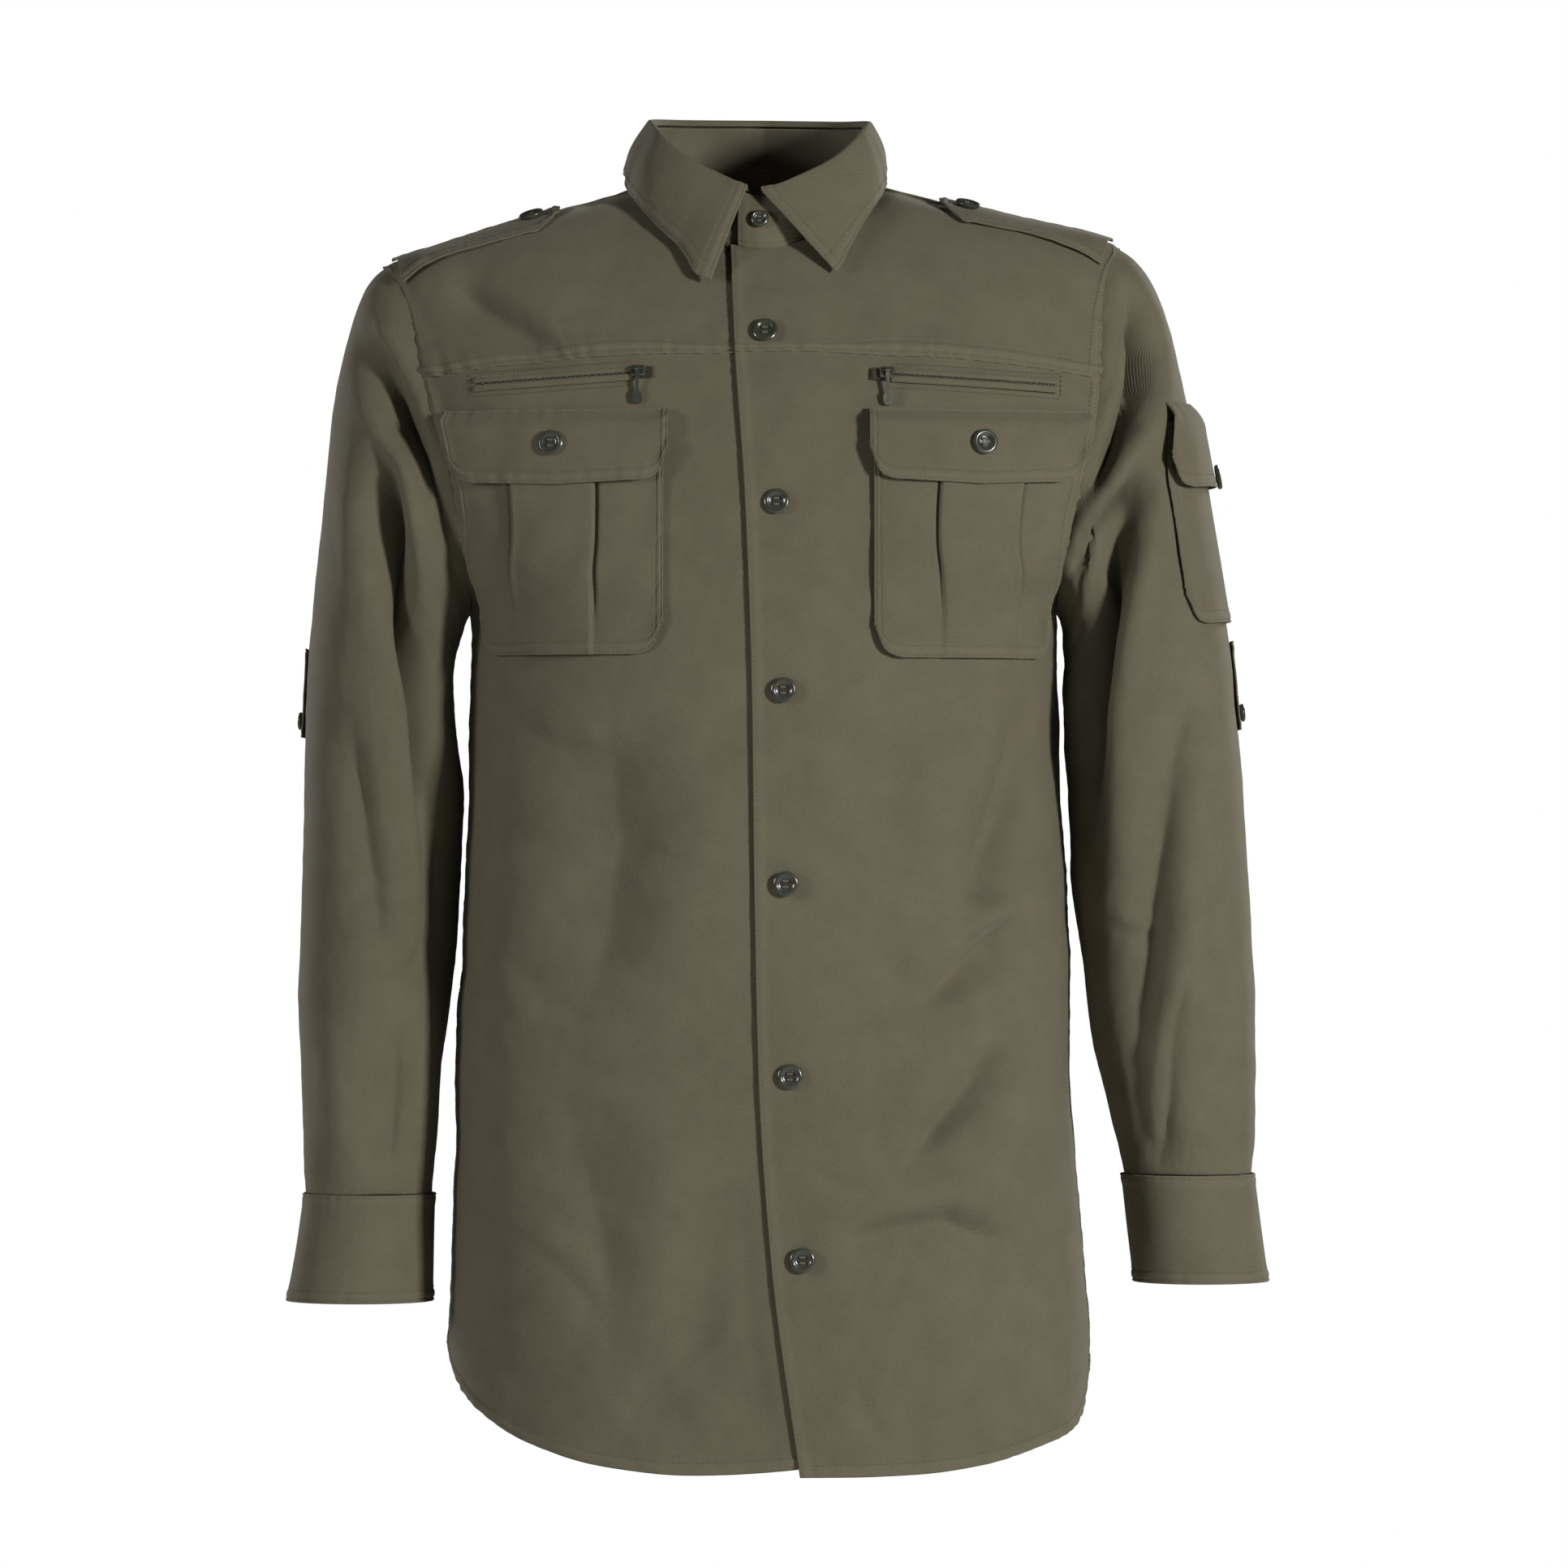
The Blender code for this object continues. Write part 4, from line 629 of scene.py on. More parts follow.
def back_grid():
    """Smooth body points of the back, rows from the hem up, columns from right to left."""
    columns = []
    high = -YOKE_DROP - YOKE_SIDE_DIP
    for column in range(BACK_COLUMNS + 1):
        across = 2 * column / BACK_COLUMNS - 1
        side = RIGHT if across < 0 else LEFT
        share = abs(across)
        hem = hem_drop(share, side, BACK)
        levels = [-(hem + (UNDERARM - hem) * i / BACK_ROWS_LOW) for i in range(BACK_ROWS_LOW + 1)]
        levels += [-UNDERARM + (high + UNDERARM) * i / BACK_ROWS_MID for i in range(1, BACK_ROWS_MID)]
        points = [body_point(x_of(share * side_arc(z, side, BACK), z, side, BACK), z, BACK) for z in levels]
        start_x = x_of(share * side_arc(high, side, BACK), high, side, BACK)
        top_x = across * SHOULDER_HALF[side]
        edge = (side, share) if share > 0.5 else None
        top = shoulder_column(start_x, top_x, high, back_top_z(top_x), edge, BACK, BACK_ROWS_TOP)
        columns.append(np.concatenate((points, top)))
    return np.array(columns).swapaxes(0, 1)


def armhole_ring(side, front, yoke, back):
    """The armhole's points in turn: shoulder end, down the front, underarm, up the back."""
    seam = back[:, -1] if side == LEFT else back[:, 0]
    down_front = np.concatenate((yoke[::-1, -1][:-1], front[::-1, -1][:FRONT_ROWS_HIGH + 1]))
    up_back = seam[BACK_ROWS_LOW + 1:-1]
    return np.concatenate((down_front, up_back))


class Sleeve:
    """The outer surface of one sleeve, from its armhole seam (0) to the cuff."""

    def __init__(self, side, ring):
        self.side = side
        self.sections = SLEEVES[side]
        self.keys = np.arange(len(self.sections["outer"]), dtype=float)
        centre, outward, depth = self.frame(0.0)
        flat = unit(outward)
        away = np.cross(flat, (0, 1, 0))
        offset = ring - centre
        self.out = offset @ flat / np.linalg.norm(outward)
        self.forward = -offset[:, 1] / depth
        self.aside = offset @ away
        turns = np.unwrap(np.arctan2(self.forward, self.out))
        self.start_turns = turns - turns[0]
        self.count = len(ring)

    def read(self, name, along):
        return float(smooth(self.keys, self.sections[name], along))

    def frame(self, along):
        """Centre, vector to the outer edge and half depth of the section there."""
        outer = np.array((self.side * self.read("outer", along), 0, -self.read("outer_drop", along)))
        inner = np.array((self.side * self.read("inner", along), 0, -self.read("inner_drop", along)))
        centre = (outer + inner) / 2
        centre[1] = self.read("middle", along)
        return centre, (outer - inner) / 2, self.read("half_depth", along)

    def loop(self, turn):
        """The armhole's own shape at a turn, as shares of the section and a step aside."""
        turns = np.degrees(self.start_turns)
        turns = np.concatenate((turns, [360.0]))
        return [float(np.interp(turn % 360, turns, np.append(values, values[0])))
                for values in (self.out, self.forward, self.aside)]

    def smooth_point(self, along, turn):
        """Turn runs from the outer edge (0) to the front (90), inner edge (180) and back (270)."""
        centre, outward, depth = self.frame(along)
        c, s = math.cos(math.radians(turn)), math.sin(math.radians(turn))
        reach = (abs(c) ** SLEEVE_POWER + abs(s) ** SLEEVE_POWER) ** (-1 / SLEEVE_POWER)
        base = centre + outward * c * reach + np.array((0, -depth * s * reach, 0))
        keep = 1 - float(ease(along, 0, ARMHOLE_BLEND))
        if keep == 0:
            return base
        out, forward, aside = self.loop(turn)
        away = np.cross(unit(outward), (0, 1, 0))
        seam = centre + outward * out + np.array((0, -depth * forward, 0)) + away * aside
        return base + (seam - base) * keep

    def point(self, along, turn, lift=0.0):
        """A point of the folded sleeve, moved out by lift."""
        base = self.smooth_point(along, turn)
        across = self.smooth_point(along, turn + 2) - self.smooth_point(along, turn - 2)
        down = self.smooth_point(along + 0.2, turn) - self.smooth_point(max(0.0, along - 0.2), turn)
        normal = unit(np.cross(across, down) * self.side)
        face = FRONT if normal[1] < 0 else BACK
        height = float(fold_height(base[0], base[2], face, SLEEVE_FOLDS[self.side]))
        facing = min(1.0, abs(normal[1]) * 1.5) * float(ease(along, 0, 2.5))
        return base + normal * (height * facing + lift)

    def along_at(self, z, turn):
        """How far along the sleeve its line at a turn reaches height z."""
        alongs = np.linspace(0, 12, 61)
        drops = [-self.smooth_point(along, turn)[2] for along in alongs]
        return float(np.interp(-z, drops, alongs))

    def trim_rows(self, places, heights, overhang, lift_at, count):
        """Points of a patch on the sleeve with rounded lower corners; places run across its front."""
        top, bottom = heights
        rows = []
        for down in np.linspace(0, 1, count):
            row = []
            for across in places:
                z = top + (bottom + corner_rise(across, SLEEVE_POCKET_WIDTH, SLEEVE_CORNER) - top) * down
                first, last = (float(smooth(SLEEVE_POCKET_EDGES["drop"], SLEEVE_POCKET_EDGES[name], -z))
                               for name in ("front", "rear"))
                turn = first + (across * (1 + 2 * overhang) - overhang) * (last - first)
                z += SLEEVE_POCKET_TILT * math.cos(math.radians(turn))
                row.append(self.point(self.along_at(z, turn), turn, lift_at(across, down)))
            rows.append(row)
        return rows


def below(points, lift):
    """Slide points down the front by what lifting them out raises them at the neck."""
    return body_point(points[:, 0], points[:, 2] - NECK_SLOPE * np.asarray(lift), FRONT)


def neckline(turn):
    """The neckline's point at an angle round the neck from the front middle."""
    s, c = math.sin(math.radians(turn)), math.cos(math.radians(turn))
    x = neck_half(s) * s
    if c > 0:
        return body_point(x, -NECK_FRONT_DROP * c * c, FRONT)
    return body_point(x, NECK_BACK_RISE * c * c, BACK)


def collar_top(turn):
    return np.array([float(smooth(COLLAR_TOP["turn"], COLLAR_TOP[axis], turn)) for axis in "xyz"])


def stand_lap(turn):
    """How far out the stand's upper end lies at the front, where it laps over the lower end."""
    return STAND_LAP * float(1 - ease(turn, 8, 30))


def stand_point(turn, share, out=0.0):
    """A point of the stand from its neck seam (0) to its top edge (1)."""
    wrapped = (turn + 180) % 360 - 180
    base = neckline(wrapped)
    away = unit(np.array((base[0], base[1] - 5, 0)))
    lap = stand_lap(turn) + out
    rise = SEAM + 0.4 + 0.6 * float(1 - ease(abs(wrapped), 20, 40))
    base = base + away * (1.0 + lap) + np.array((0, 0, rise))
    high = collar_top(wrapped) + away * lap - np.array((0, 0, STAND_TOP_GAP))
    return base + (high - base) * share + away * 2.5 * math.sin(math.pi * share)


def leaf_end(x, z, turn):
    """Where the leaf's edge rests: over the yokes in front, over the back behind."""
    if abs(turn) < 75:
        base = body_point(x, min(z, shoulder_z(x) - 2), FRONT)
        base = base + body_normal(base, FRONT) * LEAF_LIFT
        base[2] = z
        return base
    lean = math.radians(turn)
    return np.array((x, 8 - 80 * math.cos(lean), z))


def cuff_point(side, along, turn, lift=0.0):
    cuff = CUFFS[side]
    outer, inner, drop, middle, depth = (
        float(smooth(cuff["along"], cuff[name], along)) for name in CUFF_NAMES[1:])
    c, s = math.cos(math.radians(turn)), math.sin(math.radians(turn))
    reach_x = (outer - inner) / 2 + lift
    return np.array((side * ((outer + inner) / 2 + reach_x * c), middle - (depth + lift) * s, -drop))


def over_shoulder(x, across):
    """A smooth body point at x, some length over the shoulder line: negative is forward."""
    face = FRONT if across < 0 else BACK
    zs = shoulder_z(x) - 60 * np.linspace(0, 1, 80) ** 2
    line = body_point(np.full(80, x), zs, face)
    return read_line(line, lengths_along(line), abs(across)), face


def lifted(point, face, lift):
    return lift_points(point[None], face, np.array([lift]))[0]


def chest_base(side, start, across, width, z):
    """A smooth point of the chest, a share of a width that ends short of the armhole seam."""
    room = side_arc(z, side, FRONT) - ARMHOLE_MARGIN - start
    x = x_of(start + across * min(width, room), z, side, FRONT)
    return body_point(np.array(x), np.array(z), FRONT)


def corner_rise(across, width, radius):
    """How much a rounded lower corner lifts the edge, near either end of a width."""
    near = min(across, 1 - across) * width
    return radius - math.sqrt(max(0.0, radius**2 - (radius - near) ** 2)) if near < radius else 0.0


# Distances from an edge at which the grid has lines of its own, and the sewn edge's height there.
SEWN = (0.0, 0.9, 1.8, 2.7, 4.5, 6.3, 7.2, 8.1, 9.6, 12.5)
EDGES = {
    "felled": ((0.6, 1.0, 0.2, 1.1, 1.35, 1.1, 0.1, 0.5, 0.2, 0.0), (1.8, 7.2)),
    "hem": ((0.3, 0.7, 0.85, 0.9, 0.95, 0.85, 0.3, 0.3, 0.1, 0.0), (7.2,)),
    "turned": ((0.2, 0.7, 0.05, 0.5, 0.4, 0.2, 0.1, 0.0, 0.0, 0.0), (1.8,)),
    "double": ((0.2, 0.7, 0.0, 0.6, 0.8, 0.6, -0.1, 0.3, 0.1, 0.0), (1.8, 7.2)),
    "plain": ((0.0,) * 10, ()),
}
SIDE_NAMES = ("west", "east", "south", "north")
PUCKERS = {"felled": 0.45, "hem": 0.35, "turned": 0.2, "double": 0.16}
# Heights between which the puckers of upright seams die away, so that the body's sides stay even.
CALM_SEAMS = (-300.0, -250.0)


def spline(values, at, closed=False):
    """Read a smooth curve through the rows of values at fractional row numbers."""
    count = len(values)
    at = np.asarray(at, dtype=float)
    base = np.floor(at).astype(int)
    if closed:
        before, start, end, after = (values[(base + step) % count] for step in (-1, 0, 1, 2))
    else:
        base = np.clip(base, 0, count - 2)
        ends = [2 * values[:1] - values[1:2]], [2 * values[-1:] - values[-2:-1]]
        values = np.concatenate((*ends[0], values, *ends[1]))
        before, start, end, after = (values[base + step] for step in range(4))
    t = (at - base).reshape((-1,) + (1,) * (values.ndim - 1))
    slope_a, slope_b = (end - before) / 2, (after - start) / 2
    return (start * (2 * t**3 - 3 * t**2 + 1) + end * (3 * t**2 - 2 * t**3)
            + slope_a * (t**3 - 2 * t**2 + t) + slope_b * (t**3 - t**2))


def waves(at, seed, low, high, count=7):
    """A smooth random line between about -1 and 1, with wavelengths from low to high."""
    draw = np.random.default_rng(seed)
    total = np.zeros(np.shape(at))
    for _ in range(count):
        total += np.sin(at * 2 * math.pi / draw.uniform(low, high) + draw.uniform(0, 2 * math.pi))
    return total / math.sqrt(count)


def swells(x, z, seed, low, high, lean=(0.0, math.pi), count=14):
    """A smooth random field over the cloth, whose waves run within the angles of lean."""
    draw = np.random.default_rng(seed)
    total = np.zeros(np.shape(x))
    for _ in range(count):
        angle = draw.uniform(*lean)
        turn = 2 * math.pi / draw.uniform(low, high)
        total += np.sin((x * math.cos(angle) + z * math.sin(angle)) * turn + draw.uniform(0, 2 * math.pi))
    return total / math.sqrt(count)


class Patch:
    """A fine grid of one piece of cloth. u runs along its columns, v along its rows, from the edges."""

    def __init__(self, coarse, step, edges=(None,) * 4, reach=(0, 0, 0, 0), closed=False, seed=1):
        self.edges = dict(zip(SIDE_NAMES, edges))
        self.closed = closed
        self.seed = seed
        self.u, columns = self.places(coarse.swapaxes(0, 1), step, edges[:2], reach[:2], closed)
        self.v, rows = self.places(coarse, step * 1.25, edges[2:], reach[2:])
        self.columns, self.rows = columns, rows
        self.base = self.refine(coarse)
        self.wear = np.zeros(self.base.shape[:2])

    def places(self, grid, step, edges, reach, closed=False):
        """Places in millimetres, close together along sewn edges, and the same as grid numbers."""
        loop = np.concatenate((grid, grid[:1])) if closed else grid
        steps = np.linalg.norm(np.diff(loop, axis=0), axis=-1).mean(axis=1)
        lengths = np.concatenate(([0], np.cumsum(steps)))
        total = lengths[-1]
        self.total = total
        if closed:
            at = np.linspace(0, total, int(total / step), endpoint=False)
        else:
            low = [d for d in (SEWN if edges[0] else (0.0,)) if d < total / 2]
            high = [total - d for d in (SEWN if edges[1] else (0.0,)) if d < total / 2]
            middle = np.linspace(low[-1], high[-1], max(2, int(round((high[-1] - low[-1]) / step))) + 1)
            ends = [-reach[0]] * (reach[0] > 0) + [total + reach[1]] * (reach[1] > 0)
            at = np.unique(np.round(np.concatenate((ends, low, high, middle)), 4))
        index = np.interp(at, lengths, np.arange(len(lengths)))
        index += np.minimum(at, 0) / steps[0] + np.maximum(at - total, 0) / steps[-1]
        return at, index

    def refine(self, coarse):
        """Read any coarse grid of this patch, or of one value a point, at the fine places."""
        by_row = spline(coarse, self.rows)
        return spline(by_row.swapaxes(0, 1), self.columns, self.closed).swapaxes(0, 1)

    def distance(self, name):
        """How far each point is from the named edge."""
        u, v = np.meshgrid(self.u, self.v)
        return {"west": u, "east": self.u[-1] - u, "south": v, "north": self.v[-1] - v}[name]

    def sewing(self):
        """Height of the sewn edges with their puckers. Marks the wear along them."""
        total = np.zeros(self.base.shape[:2])
        u, v = np.meshgrid(self.u, self.v)
        for number, (name, kind) in enumerate(self.edges.items()):
            if not kind or kind == "plain":
                continue
            distance = self.distance(name)
            along = v if name in ("west", "east") else u
            seed = self.seed * 10 + number
            calm = 0.25 + 0.75 * ease(self.base[..., 2], *CALM_SEAMS) if name in ("west", "east") else 1.0
            uneven = 1 + 0.22 * waves(along, seed, 9, 26)
            total += np.interp(np.abs(distance), SEWN, EDGES[kind][0]) * uneven * (0.5 + 0.5 * calm)
            total += PUCKERS[kind] * calm * np.exp(-distance / 10) * waves(along, seed + 5, 6, 15)
            self.wear = np.maximum(self.wear, np.clip(1.2 - distance / 7, 0, 1) * (0.7 + 0.3 * uneven))
        return total

    def numeric_normals(self, points):
        wrap = (lambda a: np.concatenate((a[:, -1:], a, a[:, :1]), 1)) if self.closed else (lambda a: a)
        wide = wrap(points)
        across = np.gradient(wide, axis=1)
        if self.closed:
            across = across[:, 1:-1]
        normal = np.cross(across, np.gradient(points, axis=0))
        return normal / np.maximum(np.linalg.norm(normal, axis=-1, keepdims=True), 1e-9)

    def outward(self, row, column):
        """Normals of the smooth piece, turned away from the middle of one of its rows."""
        normals = self.numeric_normals(self.base)
        away = self.base[row, column] - self.base[row].mean(axis=0)
        return -normals if normals[row, column] @ away < 0 else normals

    def set(self, points, outside, at=None):
        """Keep the final points, and their normals turned outside, as told for one of the points."""
        self.points = points
        self.normals = self.numeric_normals(points)
        at = at or tuple(n // 2 for n in points.shape[:2])
        self.flip = self.normals[at] @ np.asarray(outside, dtype=float) < 0
        if self.flip:
            self.normals = -self.normals

    def read(self, u, v):
        """Points and normals at places on the patch, straight between its grid points."""
        at_u = np.interp(u, self.u, np.arange(len(self.u)))
        at_v = np.interp(v, self.v, np.arange(len(self.v)))
        i = np.clip(at_u.astype(int), 0, len(self.u) - 2)
        j = np.clip(at_v.astype(int), 0, len(self.v) - 2)
        s, t = (at_u - i)[:, None], (at_v - j)[:, None]
        found = []
        for field in (self.points, self.normals):
            low = field[j, i] * (1 - s) + field[j, i + 1] * s
            high = field[j + 1, i] * (1 - s) + field[j + 1, i + 1] * s
            found.append(low * (1 - t) + high * t)
        return found

    def line(self, name, distance, start=0.0, end=0.0):
        """A line on the patch at a distance from an edge, short of both its ends."""
        upright = name in ("west", "east")
        along = self.v if upright else self.u
        run = np.arange(max(along[0], 0) + start, along[-1] - end, 1.0)
        limits = self.u if upright else self.v
        fixed = distance if name in ("west", "south") else limits[-1] - distance
        fixed = np.full(len(run), fixed)
        return self.read(fixed, run) if upright else self.read(run, fixed)

    def mesh(self, name):
        rows, columns = self.points.shape[:2]
        width = columns if self.closed else columns - 1
        r, c = np.meshgrid(np.arange(rows - 1), np.arange(width), indexing="ij")
        following = (c + 1) % columns
        faces = np.stack((r * columns + c, r * columns + following,
                          (r + 1) * columns + following, (r + 1) * columns + c), -1).reshape(-1, 4)
        if self.flip:
            faces = faces[:, ::-1]
        mesh = bpy.data.meshes.new(name)
        mesh.from_pydata((self.points.reshape(-1, 3) * MM).tolist(), [], faces.tolist())
        mesh.shade_smooth()
        u, v = np.meshgrid(self.u, self.v)
        corners = np.empty(len(mesh.loops), dtype=int)
        mesh.loops.foreach_get("vertex_index", corners)
        flat = np.stack((u.ravel()[corners], v.ravel()[corners]), -1) * MM
        if self.closed:
            first = np.repeat(flat.reshape(-1, 4, 2)[:, :, 0].max(axis=1) > self.total * 0.9 * MM, 4)
            flat[:, 0] = np.where(first & (flat[:, 0] < self.total * 0.1 * MM),
                                  flat[:, 0] + self.total * MM, flat[:, 0])
        mesh.uv_layers.new(name="UVMap").data.foreach_set("uv", flat.astype(np.float32).ravel())
        marks = mesh.attributes.new("wear", "FLOAT", "POINT")
        marks.data.foreach_set("value", self.wear.astype(np.float32).ravel())
        return mesh


SHIRT = "shirt"
CLOTH_THICK = 1.1
sewing = {}
materials = {}


def add_object(name, data):
    """Make an object of the data and link it to the scene."""
    made = bpy.data.objects.new(name, data)
    bpy.context.scene.collection.objects.link(made)
    return made


def mesh_of(work, name):
    """Turn a bmesh into a mesh and free it."""
    mesh = bpy.data.meshes.new(name)
    work.to_mesh(mesh)
    work.free()
    return mesh


def show(name, mesh, slot, nodes=(), body=SHIRT):
    """Add a piece of the visible shirt that rides on a body and replaces CAD nodes."""
    piece = add_object(name, mesh)
    if not mesh.materials:
        mesh.materials.append(materials[slot])
    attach(piece, body)
    if nodes:
        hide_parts(*nodes)
    return piece


def thicken(piece, thickness):
    """Give a sheet its thickness, inwards."""
    wall = piece.modifiers.new("Wall", "SOLIDIFY")
    wall.thickness, wall.offset = thickness * MM, -1


def show_cloth(node, patch, thickness=CLOTH_THICK):
    """Make a cloth piece from its patch, give it its thickness, and sew its edges."""
    piece = show(node + "_cloth", patch.mesh(node + "_cloth"), "cloth", [node])
    thicken(piece, thickness)
    for name, kind in patch.edges.items():
        if not kind:
            continue
        for distance in EDGES[kind][1]:
            add_stitches(node, *patch.line(name, distance, 1.5, 1.5))


def show_sewn(node, patch, outside, share, at=None):
    """Show cloth on its smooth form, with a share of the height of its sewing."""
    patch.set(patch.base, outside, at)
    patch.points = patch.base + patch.normals * patch.sewing()[..., None] * share
    show_cloth(node, patch)


def add_stitches(group, points, normals, pitch=2.9, long=2.1, thick=0.42):
    """Lay short beads of thread along a line."""
    lengths = lengths_along(points)
    count = int(lengths[-1] / pitch)
    if count < 2:
        return
    centres = (np.arange(count) + 0.5) * pitch
    ends = [read_line(points, lengths, centres + way * long / 2) for way in (-1, 1)]
    up = read_line(normals, lengths, centres)
    up /= np.linalg.norm(up, axis=1, keepdims=True)
    along = ends[1] - ends[0]
    along /= np.linalg.norm(along, axis=1, keepdims=True)
    aside = np.cross(along, up)
    middle = (ends[0] + ends[1]) / 2 + up * thick * 0.35
    rings = [ends[0] - up * 0.1]
    for share in (-0.28, 0.28):
        for turn in range(4):
            c, s = math.cos(turn * math.pi / 2), math.sin(turn * math.pi / 2)
            rings.append(middle + along * share * long + (aside * c + up * s) * thick / 2)
    rings.append(ends[1] - up * 0.1)
    sewing.setdefault(group, []).append(np.stack(rings, 1))


STITCH_FACES = ([(0, 1 + k, 1 + (k + 1) % 4) for k in range(4)]
                + [(1 + k, 5 + k, 5 + (k + 1) % 4, 1 + (k + 1) % 4) for k in range(4)]
                + [(9, 5 + (k + 1) % 4, 5 + k) for k in range(4)])


SEWN_TOGETHER = {
    "body": ("back", "front_left", "front_right"),
    "yokes": ("yoke_left", "yoke_right", "epaulette_left", "epaulette_right"),
    "collar": ("collar_stand", "collar_leaf", "placket"),
    "pockets": ("pocket_left", "pocket_right", "pocket_flap_left", "pocket_flap_right", "zips"),
    "sleeves": ("cuff_left", "cuff_right", "sleeve_pocket", "sleeve_pocket_flap", "sleeve_tab_left",
                "sleeve_tab_right"),
}


def show_sewing(name, groups):
    """Join the stitches of several pieces of cloth into one piece."""
    beads = np.concatenate([line for group in groups for line in sewing.get(group, [])])
    faces = []
    for number in range(len(beads)):
        faces += [[number * 10 + corner for corner in face] for face in STITCH_FACES]
    mesh = bpy.data.meshes.new(name)
    mesh.from_pydata((beads.reshape(-1, 3) * MM).tolist(), [], faces)
    mesh.shade_smooth()
    return show(name, mesh, "thread")


# Sharp creases: side, depth, half width, height of the roll beside it (above 0: on the left of the
# course, seen along it), and course in (x, z).
CREASES = (
    (FRONT, 8.0, 15, -2.5, ((164, -296), (158, -346), (142, -396), (126, -446))),
    (FRONT, 5.5, 12, -3.0, ((152, -450), (126, -476), (98, -504))),
    (FRONT, 5.5, 13, -2.5, ((148, -526), (120, -560), (88, -598))),
    (FRONT, 4.0, 13, 2.0, ((36, -650), (78, -636), (112, -632), (158, -654))),
    (FRONT, 4.5, 24, 2.0, ((-98, -326), (-88, -400), (-104, -506))),
    (FRONT, 4.0, 22, -2.0, ((-122, -556), (-98, -636), (-88, -724))),
    (FRONT, 5.0, 13, 2.0, ((-194, -64), (-160, -84), (-120, -110))),
    (FRONT, 2.5, 13, 0.5, ((-14, -590), (-9, -680), (4, -775))),
    (FRONT, 1.6, 6, 1.2, ((-186, -72), (-160, -84), (-128, -100))),
    (FRONT, 4.2, 6, -2.4, ((158, -448), (140, -462), (120, -480), (96, -503))),
    (FRONT, 4.0, 6, -2.2, ((150, -524), (134, -545), (112, -570), (92, -593))),
    (FRONT, 3.0, 6, 1.8, ((42, -648), (76, -637), (110, -632), (154, -650))),
    (FRONT, 1.3, 5, 0.9, ((32, -604), (50, -612), (74, -616))),
    (FRONT, 1.6, 5, 1.0, ((54, -728), (62, -744), (76, -770))),
    (FRONT, 1.2, 5, 0.8, ((66, -296), (52, -304), (32, -318))),
    (FRONT, 1.2, 5, -0.9, ((-78, -738), (-48, -716), (-18, -684))),
    (FRONT, 1.5, 7, 1.0, ((-150, -330), (-128, -346), (-96, -352))),
    (FRONT, 1.4, 7, -1.0, ((-158, -470), (-132, -500), (-100, -516))),
    (FRONT, 1.3, 6, 0.9, ((-150, -640), (-118, -664), (-92, -700))),
    (FRONT, 4.0, 9, -2.4, ((168, -330), (160, -372), (140, -416))),
    (BACK, 2.4, 7, 1.4, ((-168, -180), (-136, -214), (-104, -232))),
    (BACK, 2.2, 7, -1.3, ((166, -190), (140, -226), (112, -240))),
    (BACK, 2.2, 6, 1.3, ((-156, -400), (-120, -424), (-84, -430))),
    (BACK, 2.4, 6, -1.4, ((160, -420), (120, -452), (86, -458))),
    (BACK, 1.6, 6, 1.0, ((-60, -500), (-20, -512), (26, -506))),
    (BACK, 1.5, 6, 1.0, ((-140, -600), (-104, -640), (-92, -690))),
    (BACK, 1.6, 6, -1.0, ((142, -580), (118, -630), (112, -684))),
)
